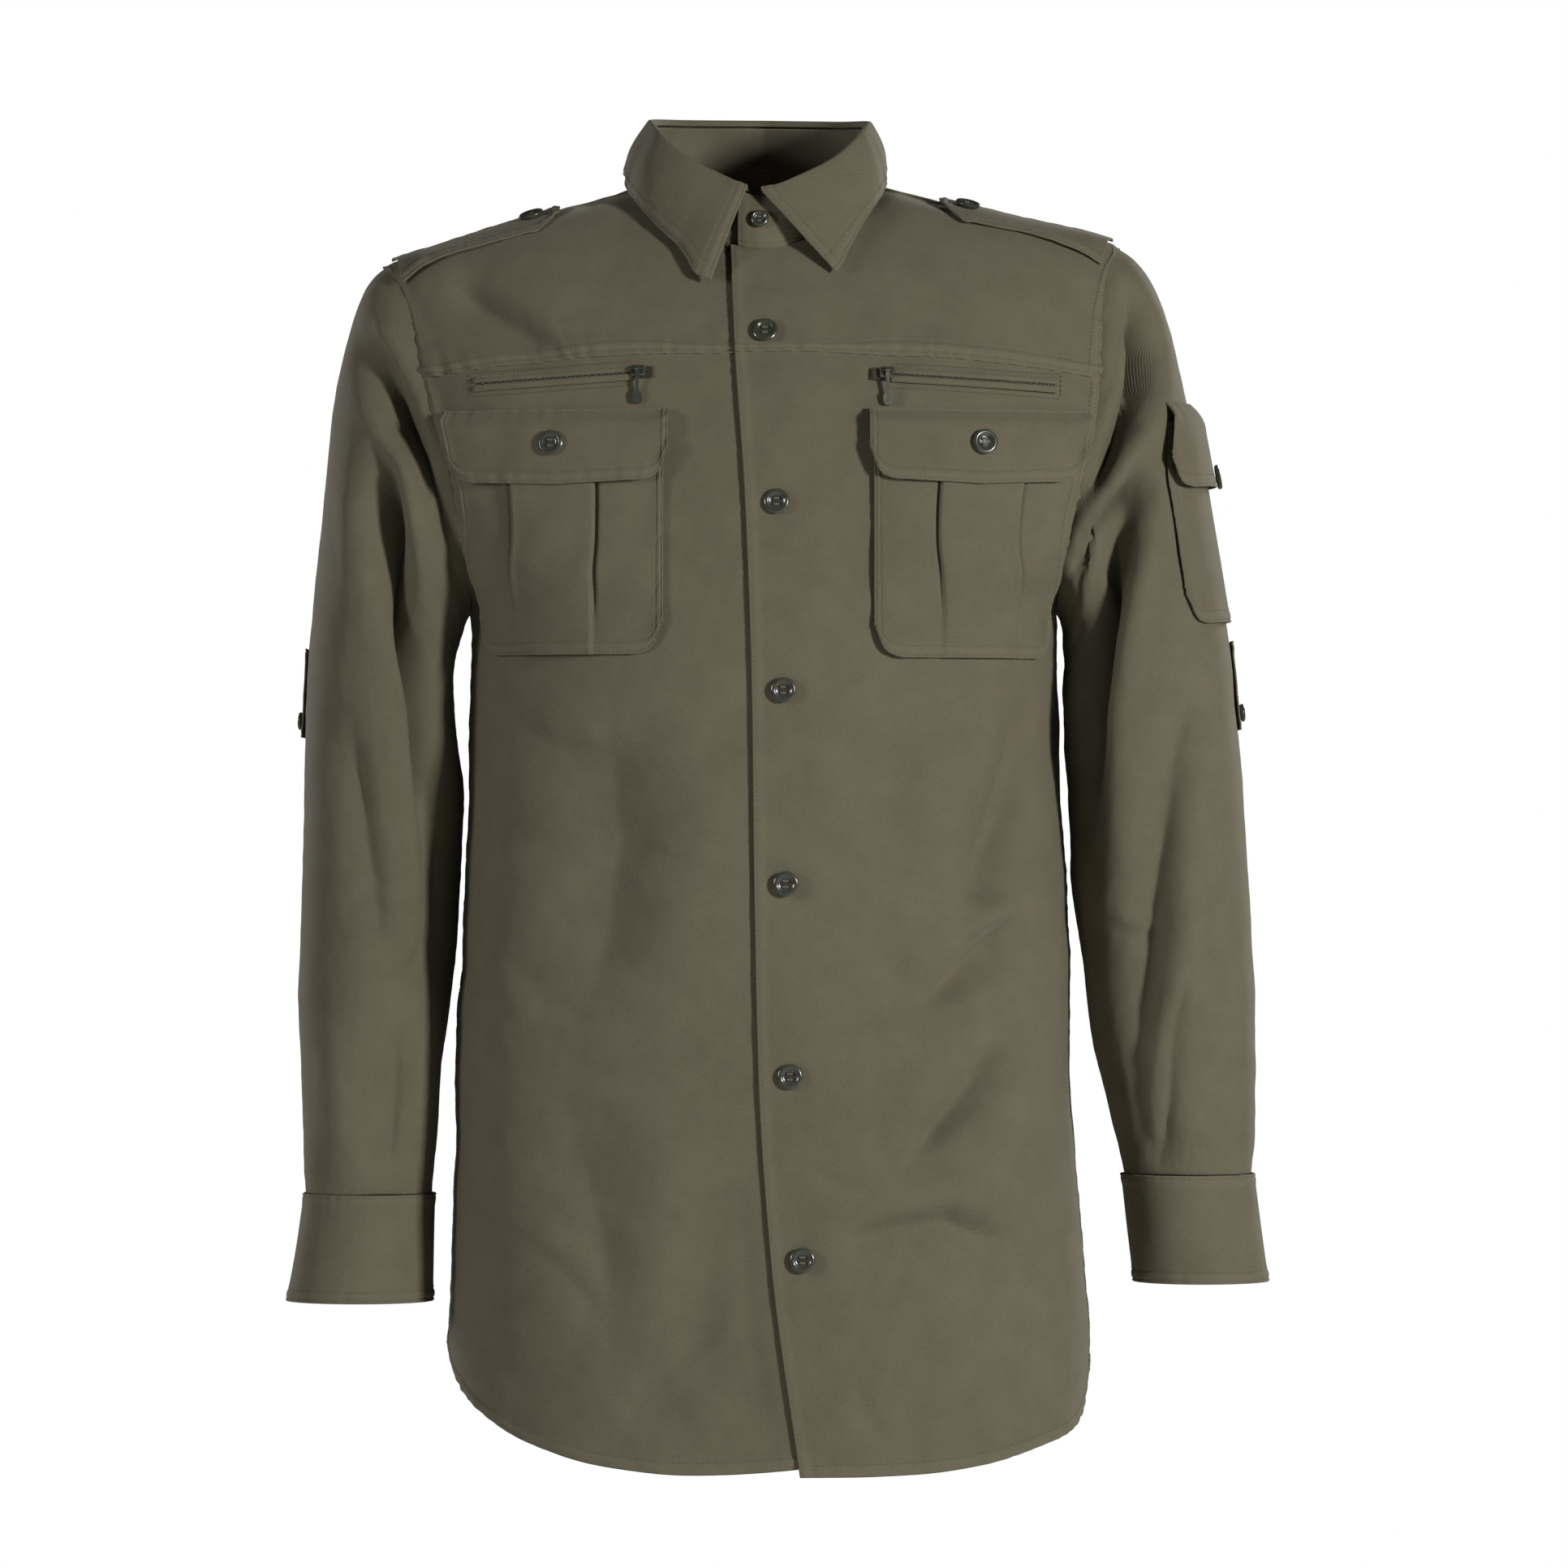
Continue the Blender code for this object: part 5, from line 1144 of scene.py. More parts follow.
SLEEVE_CREASES = {
    RIGHT: (
        (FRONT, 22.0, 8.0, -3.5, ((-242, -86), (-229, -120), (-219, -148), (-204, -169), (-192, -194),
                                 (-185, -225), (-183, -262))),
        (FRONT, 20.0, 6.5, 5.0, ((-240, -156), (-228, -179), (-225, -204), (-222, -230), (-219, -260),
                                (-211, -292), (-204, -326), (-199, -364), (-197, -404))),
        (FRONT, 20.0, 11.0, 0.5, ((-199, -322), (-192, -390), (-191, -450), (-194, -520))),
        (FRONT, 2.4, 6.0, 1.5, ((-252, -330), (-243, -390), (-231, -470))),
        (FRONT, 2.6, 5.0, -1.6, ((-222, -520), (-221, -560), (-226, -612))),
        (FRONT, 1.8, 5.0, 1.2, ((-206, -424), (-220, -432), (-242, -428))),
        (FRONT, 1.8, 5.0, -1.2, ((-203, -470), (-218, -486), (-236, -492))),
        (BACK, 6.5, 5.5, 3.0, ((-246, -96), (-226, -140), (-206, -178), (-190, -226))),
        (BACK, 4.5, 5.0, -3.0, ((-250, -190), (-232, -236), (-212, -290), (-200, -340))),
        (BACK, 3.5, 6.0, 2.0, ((-262, -380), (-238, -410), (-210, -420))),
        (BACK, 3.0, 6.0, -2.0, ((-260, -440), (-240, -462), (-214, -470))),
        (BACK, 2.5, 5.0, 1.5, ((-232, -520), (-240, -566), (-236, -612))),
    ),
    LEFT: (
        (FRONT, 20.0, 8.0, 3.5, ((217, -57), (229, -78), (235, -99), (234, -125), (224, -146), (211, -165),
                                (200, -183), (189, -199))),
        (FRONT, 2.0, 4.0, 1.5, ((215, -96), (213, -120), (206, -136), (199, -150))),
        (FRONT, 20.0, 6.5, -4.5, ((232, -172), (221, -193), (208, -209), (194, -226), (184, -246))),
        (FRONT, 24.0, 9.0, 3.5, ((230, -192), (222, -220), (213, -250), (206, -282), (200, -322), (197, -366),
                                (196, -420))),
        (FRONT, 6.0, 11.0, 2.0, ((268, -300), (256, -350), (242, -420), (233, -478), (224, -536), (232, -585),
                                 (246, -606))),
        (FRONT, 2.4, 5.0, -1.5, ((262, -470), (250, -520), (247, -566), (240, -604))),
        (FRONT, 1.8, 5.0, 1.2, ((206, -452), (224, -462), (246, -458))),
        (BACK, 6.5, 5.5, -3.0, ((236, -84), (222, -130), (204, -170), (188, -218))),
        (BACK, 4.5, 5.0, 3.0, ((256, -180), (238, -236), (214, -290), (202, -340))),
        (BACK, 3.5, 6.0, -2.0, ((276, -370), (250, -402), (218, -412))),
        (BACK, 3.0, 6.0, 2.0, ((284, -430), (256, -452), (226, -462))),
        (BACK, 2.5, 5.0, -1.5, ((250, -510), (262, -556), (258, -602))),
    ),
}


def crease_height(x, z, face, creases):
    """Sharp creases, each with a roll of cloth along one side, that fade out at their ends."""
    total = np.zeros(np.shape(x))
    for side, depth, width, roll, course in creases:
        if side != face:
            continue
        nearest, signed, along = from_course(x, z, course)
        fade = np.minimum(ease(along, -0.05, 0.3), ease(1 - along, -0.05, 0.25))
        towards_roll = signed * np.sign(roll)
        half = np.where(towards_roll > 0, 0.7 * width, 1.15 * width)
        total += fade * (abs(roll) * np.exp(-((towards_roll / width - 1.8) / 1.2) ** 2)
                         - depth * np.exp(-((nearest / half) ** 1.35)))
    return total


def put(tree, kind, settings=(), **inputs):
    """Add a shader node, set its options and link or fill its inputs."""
    node = tree.nodes.new(kind)
    for key, value in dict(settings).items():
        setattr(node, key, value)
    for key, value in inputs.items():
        socket = node.inputs[int(key[1:])] if key[0] == "i" and key[1:].isdigit() else node.inputs[key]
        if hasattr(value, "is_linked"):
            tree.links.new(value, socket)
        else:
            socket.default_value = value
    return node


def new_material(name, roughness, metallic=0.0, **sockets):
    made = bpy.data.materials.new(name)
    made.use_nodes = True
    shader = made.node_tree.nodes["Principled BSDF"]
    shader.inputs["Roughness"].default_value = roughness
    shader.inputs["Metallic"].default_value = metallic
    for key, value in sockets.items():
        shader.inputs[key.replace("_", " ")].default_value = value
    materials[name] = made
    return made.node_tree, shader


def weigh(tree, value, share, rest):
    """value * share + rest"""
    mixed = put(tree, "ShaderNodeMath", {"operation": "MULTIPLY_ADD"}, i0=value, i1=share, i2=rest)
    return mixed.outputs[0]


def colour_surface(tree, shader, factor, dark, light, start=0.0, end=1.0):
    """Colour a surface from dark to light as the factor goes from start to end."""
    ramp = put(tree, "ShaderNodeValToRGB", Fac=factor)
    for element, place, colour in zip(ramp.color_ramp.elements, (start, end), (dark, light)):
        element.position, element.color = place, (*colour, 1)
    tree.links.new(ramp.outputs[0], shader.inputs["Base Color"])


def roughen(tree, shader, height, strength, distance):
    bump = put(tree, "ShaderNodeBump", Strength=strength, Distance=distance, Height=height)
    tree.links.new(bump.outputs[0], shader.inputs["Normal"])


def cloth_material(name, dark, light, weave=0.0011, strength=0.5):
    """Twill: slanting ribs, fibres, faded patches and paler worn edges."""
    tree, shader = new_material(name, 0.82, Sheen_Weight=0.18, Sheen_Roughness=0.45)
    shader.inputs["Specular IOR Level"].default_value = 0.28
    shader.inputs["Sheen Tint"].default_value = (0.75, 0.72, 0.6, 1)
    spot = put(tree, "ShaderNodeTexCoord")
    turned = put(tree, "ShaderNodeMapping", Vector=spot.outputs["UV"], Rotation=(0, 0, math.radians(62)))
    ribs = put(tree, "ShaderNodeTexWave", Vector=turned.outputs[0], Scale=2 * math.pi / 20 / weave,
               Distortion=1.2, Detail=1.0)
    yarn = put(tree, "ShaderNodeTexNoise", Vector=spot.outputs["UV"], Scale=700.0, Detail=3.0)
    rub = put(tree, "ShaderNodeTexNoise", Vector=spot.outputs["Object"], Scale=42.0, Detail=6.0,
              Roughness=0.65)
    fade = put(tree, "ShaderNodeTexNoise", Vector=spot.outputs["Object"], Scale=5.0, Detail=2.0)
    wear = put(tree, "ShaderNodeAttribute", {"attribute_name": "wear"})
    patches = weigh(tree, fade.outputs[0], 0.35, 0.3)
    rubbed = weigh(tree, rub.outputs[0], 0.5, patches)
    grain = weigh(tree, yarn.outputs[0], 0.35, rubbed)
    worn = weigh(tree, wear.outputs["Fac"], 0.22, grain)
    colour_surface(tree, shader, worn, dark, light, 0.4)
    height = weigh(tree, rub.outputs[0], 0.8, ribs.outputs["Fac"])
    roughen(tree, shader, height, strength, 0.0003)


def speckled_material(name, dark, light, scale, roughness, metallic=0.0, bump=0.15, **sockets):
    """Plastic, paint or thread with a little uneven colour and surface."""
    tree, shader = new_material(name, roughness, metallic, **sockets)
    spot = put(tree, "ShaderNodeTexCoord")
    noise = put(tree, "ShaderNodeTexNoise", Vector=spot.outputs["Object"], Scale=scale, Detail=4.0)
    colour_surface(tree, shader, noise.outputs[0], dark, light, 0.3, 0.7)
    roughen(tree, shader, noise.outputs[0], bump, 0.0002)


def make_materials():
    cloth_material("cloth", (0.078, 0.068, 0.041), (0.141, 0.124, 0.080))
    cloth_material("zip", (0.022, 0.019, 0.012), (0.05, 0.043, 0.028), weave=0.0016)
    speckled_material("thread", (0.095, 0.080, 0.052), (0.15, 0.128, 0.085), 900.0, 0.7)
    speckled_material("button", (0.030, 0.032, 0.022), (0.055, 0.058, 0.042), 120.0, 0.28, Coat_Weight=0.4)
    speckled_material("zip_metal", (0.12, 0.12, 0.095), (0.21, 0.21, 0.17), 300.0, 0.38, 0.85)


def body_height(points, face):
    """The small folds of the body that the solid leaves out."""
    x, z = points[..., 0], points[..., 2]
    soft = 0.8 * swells(x, z, 11 + face, 70, 160) + 0.35 * swells(x, z, 21 + face, 28, 60)
    fine = 0.10 * swells(x, z, 31 + face, 9, 22)
    return soft + fine + crease_height(x, z, face, CREASES)


def panel(node, coarse, face, lifts, edges, reach, step=2.9, seed=1, thickness=CLOTH_THICK):
    """Show a panel of the body, with its folds and creases, lifted where it laps over another."""
    patch = Patch(coarse, step, edges, reach, seed=seed)
    lift = patch.refine(lifts[..., None])[..., 0] if lifts is not None else 0.0
    base = patch.base
    height = body_height(base, face) + lift + patch.sewing()
    patch.set(lift_points(base, face, height), (0, face, 0))
    show_cloth(node, patch, thickness)


def build_panels():
    back = back_grid()
    grids = {"back": back}
    panel("back", back, BACK, None, ("plain", "plain", "hem", "plain"), (0, 0, 0, 0.8), step=3.5, seed=2)
    for side, word in SIDES:
        front, yoke = front_grid(side), yoke_grid(side)
        grids[side] = (front, yoke)
        for name, grid in (("front_", front), ("yoke_", yoke)):
            lifts = np.zeros(grid.shape[:2])
            if side == LEFT:
                lifts[:, :3] = FRONT_SHOWN
                lifts[:, 3] = FRONT_SHOWN * 0.4
                if name == "yoke_":
                    grid = grid.copy()
                    grid[-1, :5] = below(grid[-1, :5], lifts[-1, :5] + 1.0)
            low = name == "front_"
            edges = ("turned", "felled", "hem" if low else "felled", "plain")
            reach = (0, 1.6, 0 if low else 1.0, 1.0 if low else 0.5)
            panel(name + word, grid, FRONT, lifts, edges, reach, seed=5 + side + 3 * low)
    front, yoke = grids[LEFT]
    strip = np.concatenate((front[:, :3], yoke[1:, :3]))
    strip[-1] = below(strip[-1], LAP)
    lifts = np.full(strip.shape[:2], FACING_SHOWN)
    panel("placket", strip, FRONT, lifts, ("plain",) * 4, (0, 0, 0, 0), step=2.4, seed=9,
          thickness=FACING_THICK)
    return grids


def build_collar():
    turns = np.linspace(STAND_START, STAND_START + 380, 140)
    coarse = np.array([[stand_point(turn, share) for turn in turns] for share in np.linspace(0, 1, 7)])
    patch = Patch(coarse, 2.0, ("turned", "turned", "turned", "plain"), (0, 0, 2.2, 0), seed=31)
    middle = len(patch.v) // 2
    x, y, _ = patch.base[middle, 2]
    show_sewn("collar_stand", patch, (x, y - 8, 0), 0.6, at=(middle, 2))

    turns = np.linspace(LEAF_FRONT[LEFT], 360 + LEAF_FRONT[RIGHT], 65)
    coarse = np.array([leaf_path(turn) for turn in turns]).swapaxes(0, 1)
    patch = Patch(coarse, 2.0, ("double", "double", "plain", "double"), seed=33)
    show_sewn("collar_leaf", patch, (0, -1, 0), 0.7, at=(len(patch.v) // 2 * 3 // 2, 2))


def leaf_path(turn):
    """The leaf's section at an angle round the neck: over the fold and down to the edge."""
    wrapped = (turn + 180) % 360 - 180
    fold = collar_top(wrapped)
    away = unit(np.array((fold[0], fold[1] - 8, 0)))
    x = float(smooth(LEAF_EDGE["turn"], LEAF_EDGE["x"], wrapped))
    z = float(smooth(LEAF_EDGE["turn"], LEAF_EDGE["z"], wrapped))
    end = leaf_end(x, z, wrapped)
    spread = stand_lap(wrapped) if wrapped > 0 else STAND_LAP * float(ease(wrapped, -22, -11))
    roll = fold + away * (6.5 + spread) + np.array((0, 0, -1.0))
    path = [fold + away * (0.3 + spread) + np.array((0, 0, -1.9)),
            fold + away * (1.6 + spread) + np.array((0, 0, 1.2)),
            fold + away * (4.1 + spread) + np.array((0, 0, 1.8)),
            roll]
    for share in (0.3, 0.55, 0.8, 1.0):
        path.append(roll + (end - roll) * share + away * 3.0 * math.sin(math.pi * share))
    return path


def smooth_sleeve(sleeve):
    """The sleeve's coarse grid without folds, and its rows' places along the sleeve."""
    even = np.arange(sleeve.count) * 360 / sleeve.count
    first = np.degrees(sleeve.start_turns)
    rows = []
    for along in sleeve.keys:
        keep = 1 - float(ease(along, 0, ARMHOLE_BLEND))
        rows.append([sleeve.smooth_point(along, turn) for turn in first * keep + even * (1 - keep)])
    return np.array(rows)


def build_sleeves(grids):
    sleeves = {}
    for side, word in SIDES:
        front, yoke = grids[side]
        sleeve = Sleeve(side, armhole_ring(side, front, yoke, grids["back"]))
        sleeves[side] = sleeve
        patch = Patch(smooth_sleeve(sleeve), 2.4, (None, None, "plain", "plain"), (0, 0, 1.0, 0.6),
                      closed=True, seed=41 + side)
        middle = len(patch.v) // 2
        normal = patch.outward(middle, 0)
        x, z = patch.base[..., 0], patch.base[..., 2]
        height = np.zeros(x.shape)
        near_seam = ease(patch.rows, 0, 2.5)[:, None]
        for face in (FRONT, BACK):
            facing = np.clip(face * normal[..., 1] * 1.5, 0, 1)
            height += facing * fold_height(x, z, face, SLEEVE_FOLDS[side]) * near_seam
            height += facing * crease_height(x, z, face, SLEEVE_CREASES[side]) * near_seam**0.5
        u, v = np.meshgrid(patch.u / patch.total * 2 * math.pi, patch.v)
        height += 0.5 * swells(np.cos(u) * 70 + np.sin(u) * 30, v, 51 + side, 40, 110)
        height += 0.12 * swells(np.cos(u) * 70 + np.sin(2 * u) * 30, v, 53 + side, 9, 24)
        height += patch.sewing()
        patch.set(patch.base + normal * height[..., None], normal[middle, len(patch.u) // 2])
        show_cloth("sleeve_" + word, patch)
        build_cuff(side, word)
    return sleeves


def build_cuff(side, word):
    turns = np.linspace(CUFF_START, CUFF_START + 360 + CUFF_OVERLAP, 97)
    lifts = [CUFF_LAP * float(ease(turn - CUFF_START, 330, 358)) for turn in turns]
    rows = [[cuff_point(side, along, turn, lift) for turn, lift in zip(turns, lifts)]
            for along in np.linspace(0, 2, 9)]
    patch = Patch(np.array(rows), 2.0, ("double", "double", "turned", "double"), seed=61 + side)
    normal = patch.outward(2, 2)
    patch.set(patch.base + normal * patch.sewing()[..., None], normal[len(patch.v) // 2, len(patch.u) // 2])
    show_cloth("cuff_" + word, patch)


def build_epaulettes():
    for side, word in SIDES:
        tip, end = EPAULETTE[side]
        rows = []
        for share in (0.0, 0.05, 0.14, 0.22, 0.3, 0.4, 0.5, 0.6, 0.7, 0.8, 0.9, 1.0):
            half = EPAULETTE_WIDTH / 2 * min(1.0, 0.16 + share / 0.14 * 0.84) + 1.5 * share
            row = []
            for across in np.linspace(-1, 1, 9):
                x = side * (tip + (end - tip - EPAULETTE_SKEW * (1 - across) / 2) * share)
                point, face = over_shoulder(x, across * half - EPAULETTE_FORWARD)
                row.append(lifted(point, face, EPAULETTE_LIFT))
            rows.append(row)
        patch = Patch(np.array(rows), 1.6, ("double", "double", "double", "plain"), seed=71 + side)
        show_sewn("epaulette_" + word, patch, (0, 0, 1), 0.8)


def chest_patch(side, start, width, height_at, rows, step, edges, seed):
    """The patch of a pocket or flap on the chest, and the shares across and down at its points."""
    coarse = [[chest_base(side, start, across, width, height_at(down, across))
               for across in np.linspace(0, 1, 25)] for down in np.linspace(0, 1, rows)]
    patch = Patch(np.array(coarse), step, edges, seed=seed)
    return patch, *np.meshgrid(patch.u / patch.u[-1], patch.v / patch.v[-1])


def build_pocket(side, word):
    start, top, bottom = POCKET[side]

    def height_at(down, across):
        return top + (bottom + corner_rise(across, POCKET_WIDTH, POCKET_CORNER) - top) * down

    patch, across, down = chest_patch(side, start, POCKET_WIDTH, height_at, 9, 1.45,
                                      ("double", "double", "plain", "double"), 81 + side)
    inside = np.minimum(across - PLEAT[0], PLEAT[1] - across) * POCKET_WIDTH
    pleat = ease(inside, -0.4, 0.7) * (1 - 0.45 * down**6)
    open_above = ease(1 - down, 0.02, 0.4)
    groove = np.interp(inside, (-3.4, -1.8, -0.8, 0.2), (0, 1, 1, 0)) * open_above
    sag = np.sin(math.pi * np.clip(across, 0, 1)) * np.sin(math.pi * np.clip(down, 0, 1)) ** 0.7
    lift = POCKET_LIFT + PLEAT_HEIGHT * pleat - PLEAT_GROOVE * groove + POCKET_SAG * sag + patch.sewing()
    lift += 0.3 * swells(across * 138, down * 140, 85 + side, 20, 60)
    points = lift_points(patch.base, FRONT, lift)
    outward = np.sign(across - sum(PLEAT) / 2) * side
    overhang = np.interp(inside, (-0.6, 0.3, 1.8, 3.5), (0, PLEAT_OVERHANG, 1.0, 0)) * open_above
    points[..., 0] += outward * overhang
    patch.set(points, (0, -1, 0))
    show_cloth("pocket_" + word, patch)


def build_flap(side, word):
    start = POCKET[side][0] - FLAP_OVERHANG

    def height_at(down, across):
        point = FLAP_POINT * (1 - abs(2 * across - 1))
        return FLAP_TOP[side] - (FLAP_HEIGHT - corner_rise(across, FLAP_WIDTH, FLAP_CORNER) + point) * down

    patch, across, down = chest_patch(side, start, FLAP_WIDTH, height_at, 7, 1.6,
                                      ("double", "double", "turned", "double"), 91 + side)
    lift = FLAP_TOP_LIFT + (FLAP_LIFT - FLAP_TOP_LIFT) * ease(down, 0, 0.24) + patch.sewing()
    lift += 0.35 * swells(across * 140, down * 45, 95 + side, 18, 50) * ease(down, 0, 0.4)
    patch.set(lift_points(patch.base, FRONT, lift), (0, -1, 0))
    show_cloth("pocket_flap_" + word, patch)
    middle = chest_base(side, start, 0.5, FLAP_WIDTH, FLAP_TOP[side] - 0.5 * FLAP_HEIGHT)
    spot = lifted(middle, FRONT, FLAP_LIFT + BUTTON_GAP)
    place_button("pocket_button_" + word, spot, spot - lifted(middle, FRONT, 0), BUTTON_SIZE)


def build_pockets():
    for side, word in SIDES:
        build_pocket(side, word)
        build_flap(side, word)


def sleeve_patch(node, sleeve, rows, edges, seed, step=1.6):
    """A piece of cloth that lies on a sleeve."""
    patch = Patch(np.array(rows), step, edges, seed=seed)
    show_sewn(node, patch, (sleeve.side, 0, 0), 0.8)


def build_sleeve_trims(sleeves):
    sleeve = sleeves[LEFT]

    def pocket_lift(across, down):
        return SLEEVE_POCKET_LIFT + SLEEVE_POCKET_PUFF * math.sin(math.pi * across) ** 0.5 * (1 - 0.68 * down)

    def flap_lift(across, down):
        return SLEEVE_FLAP_TOP_LIFT + (SLEEVE_FLAP_LIFT - SLEEVE_FLAP_TOP_LIFT) * float(ease(down, 0, 0.2))

    places = np.linspace(0, 1, 21)
    rows = sleeve.trim_rows(places, SLEEVE_POCKET_HEIGHTS, 0.0, pocket_lift, 10)
    sleeve_patch("sleeve_pocket", sleeve, rows, ("double", "double", "plain", "double"), 101)
    rows = sleeve.trim_rows(places, SLEEVE_FLAP_HEIGHTS, SLEEVE_FLAP_OVERHANG, flap_lift, 9)
    sleeve_patch("sleeve_pocket_flap", sleeve, rows, ("double", "double", "turned", "double"), 103)
    turn, z = SLEEVE_BUTTON
    along = sleeve.along_at(z, turn)
    spot = sleeve.point(along, turn, SLEEVE_FLAP_LIFT + ROUND_BUTTON_GAP)
    place_button("sleeve_pocket_button", spot, spot - sleeve.point(along, turn), BUTTON_SIZE)
    for side, word in SIDES:
        sleeve = sleeves[side]
        begin, end, turn = SLEEVE_TAB[side]
        rows = [[sleeve.point(along, turn + step, TAB_LIFT) for step in np.linspace(-11, 11, 5)]
                for along in np.linspace(begin, end, 9)]
        sleeve_patch("sleeve_tab_" + word, sleeve, rows, ("turned",) * 4, 111 + side, 1.2)
        at = end - 0.24
        spot = sleeve.point(at, turn, TAB_LIFT + ROUND_BUTTON_GAP)
        place_button("tab_button_" + word, spot, spot - sleeve.point(at, turn), SMALL_BUTTON_SIZE)
        turn = CUFF_START + 366
        spot = cuff_point(side, 1.0, turn, CUFF_LAP + ROUND_BUTTON_GAP)
        place_button("cuff_button_" + word, spot, spot - cuff_point(side, 1.0, turn), BUTTON_SIZE)


# The button's profile: share of its radius, and height.
BUTTON_PROFILE = ((0.42, 1.75), (0.56, 2.0), (0.66, 2.75), (0.78, 3.05), (0.90, 2.85), (0.99, 2.2),
                  (1.0, 1.7), (0.96, 0.8), (0.88, 0.1), (0.8, 0))
BUTTON_STEPS = 48
# As shares of the button's size: from its middle to a hole's, and the holes' and threads' radius.
HOLE_OFF = 0.115
HOLE_RADIUS = 0.07
THREAD_RADIUS = 0.045
THREAD_HEIGHT = 1.75
button_meshes = {}


def add_rod(work, segments, radius, depth, matrix):
    bmesh.ops.create_cone(work, cap_ends=True, segments=segments, radius1=radius * MM, radius2=radius * MM,
                          depth=depth * MM, matrix=matrix)


def turned_disc(size):
    """The button's disc, its profile turned round its middle."""
    work = bmesh.new()
    turns = [2 * math.pi * k / BUTTON_STEPS for k in range(BUTTON_STEPS)]
    rings = [[work.verts.new((share * size / 2 * math.cos(turn) * MM,
                              share * size / 2 * math.sin(turn) * MM, z * MM)) for turn in turns]
             for share, z in BUTTON_PROFILE]
    for low, high in zip(rings, rings[1:]):
        for k in range(BUTTON_STEPS):
            after = (k + 1) % BUTTON_STEPS
            work.faces.new((low[k], high[k], high[after], low[after]))
    work.faces.new(rings[0])
    work.faces.new(rings[-1][::-1])
    bmesh.ops.recalc_face_normals(work, faces=work.faces)
    return mesh_of(work, "button")


def button_mesh(size):
    """A turned button with a rounded rim, a dished middle, four holes and the thread through them."""
    if size in button_meshes:
        return button_meshes[size]
    off = HOLE_OFF * size
    work = bmesh.new()
    for x in (-off, off):
        for y in (-off, off):
            add_rod(work, 14, HOLE_RADIUS * size, 6, Matrix.Translation((x * MM, y * MM, 1.5 * MM)))
    disc = add_object("button_disc", turned_disc(size))
    drill = add_object("button_drill", mesh_of(work, "button_drill"))
    cut = disc.modifiers.new("Holes", "BOOLEAN")
    cut.operation = "DIFFERENCE"
    cut.object = drill
    graph = bpy.context.evaluated_depsgraph_get()
    holed = bpy.data.meshes.new_from_object(disc.evaluated_get(graph))
    for thing in (disc, drill):
        bpy.data.objects.remove(thing, do_unlink=True)
    work = bmesh.new()
    work.from_mesh(holed)
    for y in (-off, off):
        add_rod(work, 8, THREAD_RADIUS * size, 2.3 * off,
                Matrix.Translation((0, y * MM, THREAD_HEIGHT * MM)) @ Matrix.Rotation(math.pi / 2, 4, "Y"))
    for face in work.faces[-20:]:
        face.material_index = 1
    work.to_mesh(holed)
    work.free()
    holed.name = "button"
    holed.shade_smooth()
    holed.set_sharp_from_angle(angle=math.radians(38))
    holed.materials.append(materials["button"])
    holed.materials.append(materials["thread"])
    button_meshes[size] = holed
    return holed


def place_button(name, spot, normal, size):
    piece = show(name + "_fine", button_mesh(size), "button", [name])
    piece.location = Vector(spot) * MM
    piece.rotation_euler = Vector(normal).to_track_quat("Z", "Y").to_euler()


def build_buttons():
    for side, word in SIDES:
        x = side * (EPAULETTE[side][0] + EPAULETTE_BUTTON_IN)
        point, face = over_shoulder(x, -EPAULETTE_FORWARD)
        place_button("epaulette_button_" + word, lifted(point, face, EPAULETTE_LIFT + BUTTON_GAP),
                     body_normal(point[None], face)[0], BUTTON_SIZE)
    for number, drop in enumerate(BUTTON_DROPS, start=1):
        base = body_point(np.array(button_x(-drop)), np.array(-drop), FRONT)
        spot = lifted(base, FRONT, FRONT_SHOWN + 0.8)
        place_button(f"front_button_{number}", spot, body_normal(base[None], FRONT)[0], BUTTON_SIZE)
    lean = stand_point(-1, 0.6) - stand_point(-1, 0.4)
    normal = unit(np.array((0, -lean[2], lean[1])))
    place_button("collar_button", stand_point(-1, 0.52) + normal * BUTTON_GAP, normal, SMALL_BUTTON_SIZE)


TAPE_THICK = 0.9
WELT_WIDE = 4.6
WELT_THICK = 1.3
WELT_WALL = 0.8
WELT_SINK = 0.2
WELT_SLIT = 0.45
WELT_FROM = 11.5
WELT_LEVELS = ((1, "upper"), (-1, "lower"))
TOOTH_PITCH = 1.7
TOOTH_RADIUS = 0.55
TOOTH_ASIDE = 0.25
# The stitched box round the welts: half its height, and how far it runs past their end.
BOX_HALF = 7.4
BOX_PAST = 5.0


def zip_points(side, shares, above, lift):
    """Points on the cloth along a chest zip, above its middle line by some millimetres."""
    start, end, z_start, z_end = ZIP[side]
    x = side * (start + (end - start) * shares)
    z = z_start + (z_end - z_start) * shares + above
    base = body_point(x, z, FRONT)
    return lift_points(base, FRONT, np.zeros(np.shape(x)) + lift), body_normal(base, FRONT)


def show_strip(name, grid, step, slot, thickness, nodes=()):
    """Show a narrow plain strip that lies on the front."""
    patch = Patch(np.array(grid), step, ("plain",) * 4)
    patch.set(patch.base, (0, -1, 0))
    piece = show(name, patch.mesh(name), slot, nodes)
    thicken(piece, thickness)
    return piece


